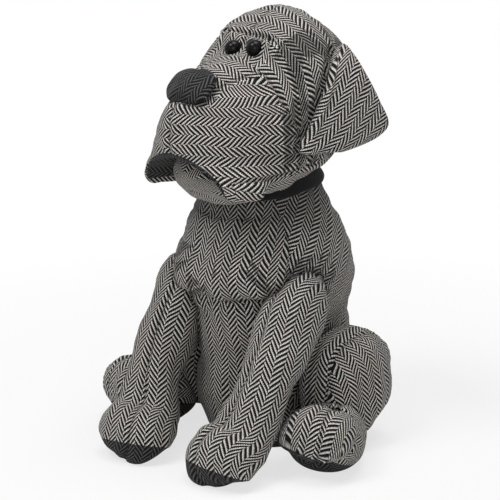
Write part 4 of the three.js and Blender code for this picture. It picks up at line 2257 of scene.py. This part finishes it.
    def eye(self, dresser: Dresser, skull: Neighbour, hand: Hand) -> None:
        """Makes one bead eye, sunk in the face.

        Args:
            dresser: Dresses the piece.
            skull: The head's skin.
            hand: Which side.
        """
        side = hand.value * self.forms.eye_spacing / 2 + self.forms.eye_shift
        lift = self.forms.eye_tilt if hand is Hand.LEFT else 0.0
        above = Vector((side, -200, self.forms.eye_height + lift))
        seat = skull.tree.ray_cast(above, Vector((0, 1, 0)))[0]
        centre = np.array([seat.x, seat.y - self.forms.eye_proud, seat.z])
        mesh = bpy.data.meshes.new(f"eye_{hand.word}_bead")
        work = bmesh.new()
        radius = self.forms.eye_diameter / 2 * MM
        bmesh.ops.create_uvsphere(work, u_segments=48, v_segments=32, radius=radius)
        spot = Vector((centre + self.tailor.shift) * MM)
        bmesh.ops.translate(work, verts=work.verts, vec=spot)
        work.to_mesh(mesh)
        work.free()
        dresser.dress(self.seat(set_out(mesh)), "bead", f"eye_{hand.word}")

    def sew_edge(self, skull: Neighbour, skin: Skin, roll: float) -> None:
        """Lays an ear's front edge on the head.

        Args:
            skull: The head's skin.
            skin: The ear's skin, which is changed.
            roll: How far the rim along the edge is rolled up.
        """
        grid = skin.points[1:-1].reshape(skin.rings, skin.around, 3)
        middle = grid[..., 1].mean(1)
        front = grid[..., 1].min(1)
        share = (middle[:, None] - grid[..., 1]) / (middle - front)[:, None]
        over = np.sin(np.linspace(0, 2 * math.pi, skin.around, endpoint=False) - math.pi / 2)
        rim = np.exp(-(((share - 0.86) / 0.1) ** 2)) * np.clip(over * 3, 0, 1)
        for row, edge in enumerate(grid[..., 1].argmin(1)):
            spot, normal, _, _ = skull.tree.find_nearest(Vector(grid[row, edge]))
            away = np.array(normal)
            off = max(float((grid[row, edge] - np.array(spot)) @ away) - 1.0, 0)
            grid[row] -= away * (np.clip(share[row], 0, 1) ** 2 * off)[:, None]
            grid[row] += away * (rim[row] * roll)[:, None]
        skin.points[1:-1] = grid.reshape(-1, 3)

    def ear(self, dresser: Dresser, skull: Neighbour, hand: Hand) -> None:
        """Makes one ear flap and its lining.

        Args:
            dresser: Dresses the pieces.
            skull: The head's skin.
            hand: Which side.
        """
        forms = self.forms
        flat_side = 0.01
        flap = forms.ear(hand, forms.ear_thickness, flat_side, 0, 0).skin()
        lining = forms.ear(
            hand, flat_side, forms.ear_lining, -forms.ear_lining_gap, forms.ear_lining_inset
        ).skin()
        self.sew_edge(skull, flap, forms.ear_roll)
        self.sew_edge(skull, lining, 0.0)
        self.ears.append(self.tailor.neighbour(flap))
        edges = [flap.meridian(90, 0.05, 0.85), flap.meridian(-90, 0.05, 0.85)]
        self.ear_edges.append(min(edges, key=lambda edge: edge[:, 1].mean()))
        for name, skin, slot, node in (
            (f"ear_{hand.word}_flap", flap, "tweed", f"ear_{hand.word}"),
            (f"ear_{hand.word}_cloth", lining, "dark_tweed", f"ear_lining_{hand.word}"),
        ):
            skull.press_out(skin, CONTACT_GAP)
            piece = self.tailor.mesh(name, skin, (Cut(turn=forms.ear_weave_turn * hand.value),))
            dresser.dress(self.seat(piece), slot, node, fill=0.3)


# Studio and assembly.


@dataclass(frozen=True)
class Lamp:
    """One square lamp: its place and edge in metres, and its power in watts."""

    name: str
    spot: Point
    edge: float
    power: float


@dataclass
class Studio:
    """Pale floor, soft lamps and the camera, in metres."""

    focal_length: float = 125.1
    azimuth: float = 39
    elevation: float = 13
    distance: float = 1.1
    target: Point = (0.0, -0.0064, 0.150)
    principal: tuple[float, float] = (260, 207)
    image_size: int = 500
    floor_colour: Colour = (0.86, 0.86, 0.86, 1)
    floor_grain: float = 0.985
    floor_radius: float = 6
    shadow_share: float = 0.30
    shadow_radius: float = 0.16
    world_level: float = 0.27
    white_level: float = 1.0
    sensor_width: float = 36
    lamp_aim: Point = (0, 0, 0.12)
    lamps: tuple[Lamp, ...] = (
        Lamp("key", (-0.25, -1.0, 1.7), 0.7, 15.5),
        Lamp("top", (0.2, 0.1, 1.8), 0.9, 15.5),
        Lamp("fill", (1.1, -1.3, 0.6), 0.9, 5),
    )

    def build(self) -> None:
        """Makes the floor, the lamps, the world and the camera."""
        self.camera()
        self.floor()
        self.world()
        for lamp in self.lamps:
            self.hang(lamp)

    def camera(self) -> None:
        """Makes the camera at the photograph's viewing angle."""
        a, e = math.radians(self.azimuth), math.radians(self.elevation)
        back = Vector((math.sin(a) * math.cos(e), -math.cos(a) * math.cos(e), math.sin(e)))
        data = bpy.data.cameras.new("camera")
        data.lens = self.focal_length
        data.sensor_width = self.sensor_width
        data.shift_x = (self.image_size / 2 - self.principal[0]) / self.image_size
        data.shift_y = (self.principal[1] - self.image_size / 2) / self.image_size
        camera = bpy.data.objects.new("camera", data)
        camera.location = Vector(self.target) + back * self.distance
        self.point(camera, -back)
        bpy.context.scene.camera = camera

    def hang(self, lamp: Lamp) -> None:
        """Makes one square lamp that looks at the dog.

        Args:
            lamp: The lamp.
        """
        data = bpy.data.lights.new(lamp.name, "AREA")
        data.size = lamp.edge
        data.energy = lamp.power
        made = bpy.data.objects.new(lamp.name, data)
        made.location = lamp.spot
        self.point(made, Vector(self.lamp_aim) - Vector(lamp.spot))

    def point(self, thing: bpy.types.Object, direction: Vector) -> None:
        """Puts a camera or lamp in the scene, looking in a direction.

        Args:
            thing: The camera or lamp.
            direction: Where it looks.
        """
        thing.rotation_mode = "QUATERNION"
        thing.rotation_quaternion = direction.to_track_quat("-Z", "Y")
        bpy.context.scene.collection.objects.link(thing)

    def world(self) -> None:
        """Makes an even pale surround, white where the camera sees it."""
        world = bpy.data.worlds.new("surround")
        world.use_nodes = True
        tree = world.node_tree
        tree.nodes.clear()
        rays = tree.nodes.new("ShaderNodeLightPath")
        seen = tree.nodes.new("ShaderNodeMath")
        seen.operation = "MAXIMUM"
        tree.links.new(rays.outputs["Is Camera Ray"], seen.inputs[0])
        tree.links.new(rays.outputs["Is Glossy Ray"], seen.inputs[1])
        level = tree.nodes.new("ShaderNodeMapRange")
        level.inputs["To Min"].default_value = self.world_level
        level.inputs["To Max"].default_value = self.white_level
        tree.links.new(seen.outputs[0], level.inputs["Value"])
        glow = tree.nodes.new("ShaderNodeBackground")
        tree.links.new(level.outputs[0], glow.inputs["Strength"])
        end = tree.nodes.new("ShaderNodeOutputWorld")
        tree.links.new(glow.outputs[0], end.inputs["Surface"])
        bpy.context.scene.world = world

    def floor(self) -> None:
        """Makes the floor, which keeps the dog's shadow."""
        bpy.ops.mesh.primitive_circle_add(
            vertices=96, radius=self.floor_radius, fill_type="NGON"
        )
        floor = bpy.context.object
        floor.name = "floor"
        bench = Bench("floor")
        grain = bench.noise(60, 2.0)
        shaded = tuple(c * self.floor_grain for c in self.floor_colour)
        colour = bench.mix(grain, self.floor_colour, shaded)
        matt = bench.node("ShaderNodeBsdfDiffuse", None, {"Color": colour})
        white = bench.node("ShaderNodeEmission", None, {"Strength": self.white_level})
        away = bench.node("ShaderNodeVectorMath", {"operation": "LENGTH"}, {0: bench.place()})
        fade = bench.node(
            "ShaderNodeMapRange",
            None,
            {
                "Value": bench.out(away, "Value"),
                "From Min": self.shadow_radius,
                "From Max": self.shadow_radius * 3,
                "To Min": 1 - self.shadow_share,
                "To Max": 1.0,
            },
        )
        seen = bench.out(bench.node("ShaderNodeLightPath"), "Is Camera Ray")
        both = bench.node("ShaderNodeMixShader", None, {0: seen * bench.out(fade)})
        bench.tree.links.new(matt.outputs[0], both.inputs[1])
        bench.tree.links.new(white.outputs[0], both.inputs[2])
        floor.data.materials.append(bench.finish(both))


def finishes() -> dict[str, bpy.types.Material]:
    """All finishes by name.

    Returns:
        One material for each name that the dresser uses.
    """
    tweed = HerringboneTweed(
        "light_tweed", srgb(221, 219, 214), srgb(213, 205, 197), srgb(19, 19, 20)
    )
    dark = HerringboneTweed(
        "dark_tweed", srgb(92, 91, 92), srgb(84, 82, 80), srgb(16, 16, 18), relief=0.4
    )
    nose = replace(dark, name="nose_tweed", light=srgb(96, 96, 98), light_warm=srgb(88, 87, 87))
    return {
        "tweed": tweed.material(),
        "dark_tweed": dark.material(),
        "nose_tweed": nose.material(),
        "band_cloth": Felt("band_felt", srgb(27, 27, 29), srgb(14, 14, 15)).material(),
        "bead": GlossBead("bead_gloss", srgb(9, 9, 10)).material(),
    }


def place_in_frame() -> Point:
    """Where the forms' own origin lies in the frame.

    Returns:
        Millimetres that bring the torso's underside over the solid base panel.
    """
    torso = Torso(Tailor((0, 0, 0)))
    low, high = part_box("base_panel")
    plain = torso.form().skin().points
    base = plain[plain[:, 2] < torso.base_cloth_height]
    own = (base[:, 1].min() + base[:, 1].max()) / 2
    return (0, (low.y + high.y) / 2 / MM - own, 0)


def main() -> None:
    """Builds the dog round the frame, then the studio."""
    tailor = Tailor(place_in_frame())
    log.info("forms are shifted by %s mm", tailor.shift)
    torso = Torso(tailor)
    dresser = Dresser(finishes())
    head_side = Head(tailor).build(dresser)
    trunk_skin = torso.skin()
    trunk = tailor.neighbour(trunk_skin)
    NeckBand(tailor, torso).build(dresser)
    limbs = []
    for hand in Hand:
        leg = FrontLeg(tailor, hand)
        leg_skin = leg.skin([trunk])
        leg_side = tailor.neighbour(leg_skin)
        haunch = Haunch(tailor, hand)
        haunch_skin = haunch.skin([trunk, leg_side])
        haunch_side = tailor.neighbour(haunch_skin)
        foot = HindFoot(tailor, hand)
        foot_skin = foot.skin([trunk, leg_side, haunch_side])
        leg.build(dresser, leg_skin)
        haunch.build(dresser, haunch_skin)
        foot.build(dresser, foot_skin)
        limbs += [leg_side, haunch_side, tailor.neighbour(foot_skin)]
    # Painted shade on the torso where the legs, haunches and feet touch it.
    for limb in limbs:
        limb.shade(trunk_skin)
    # Painted shade on the chest and shoulders under the head.
    head_side.shade(trunk_skin, CHIN_SHADE_REACH, 0)
    torso.build(dresser, trunk_skin)
    Tail(tailor, torso).build(dresser, [trunk])
    Studio().build()
    scene = bpy.context.scene
    scene.view_settings.view_transform = "Standard"


if __name__ == "__main__":
    logging.basicConfig(level=logging.INFO, format="%(message)s")
    main()
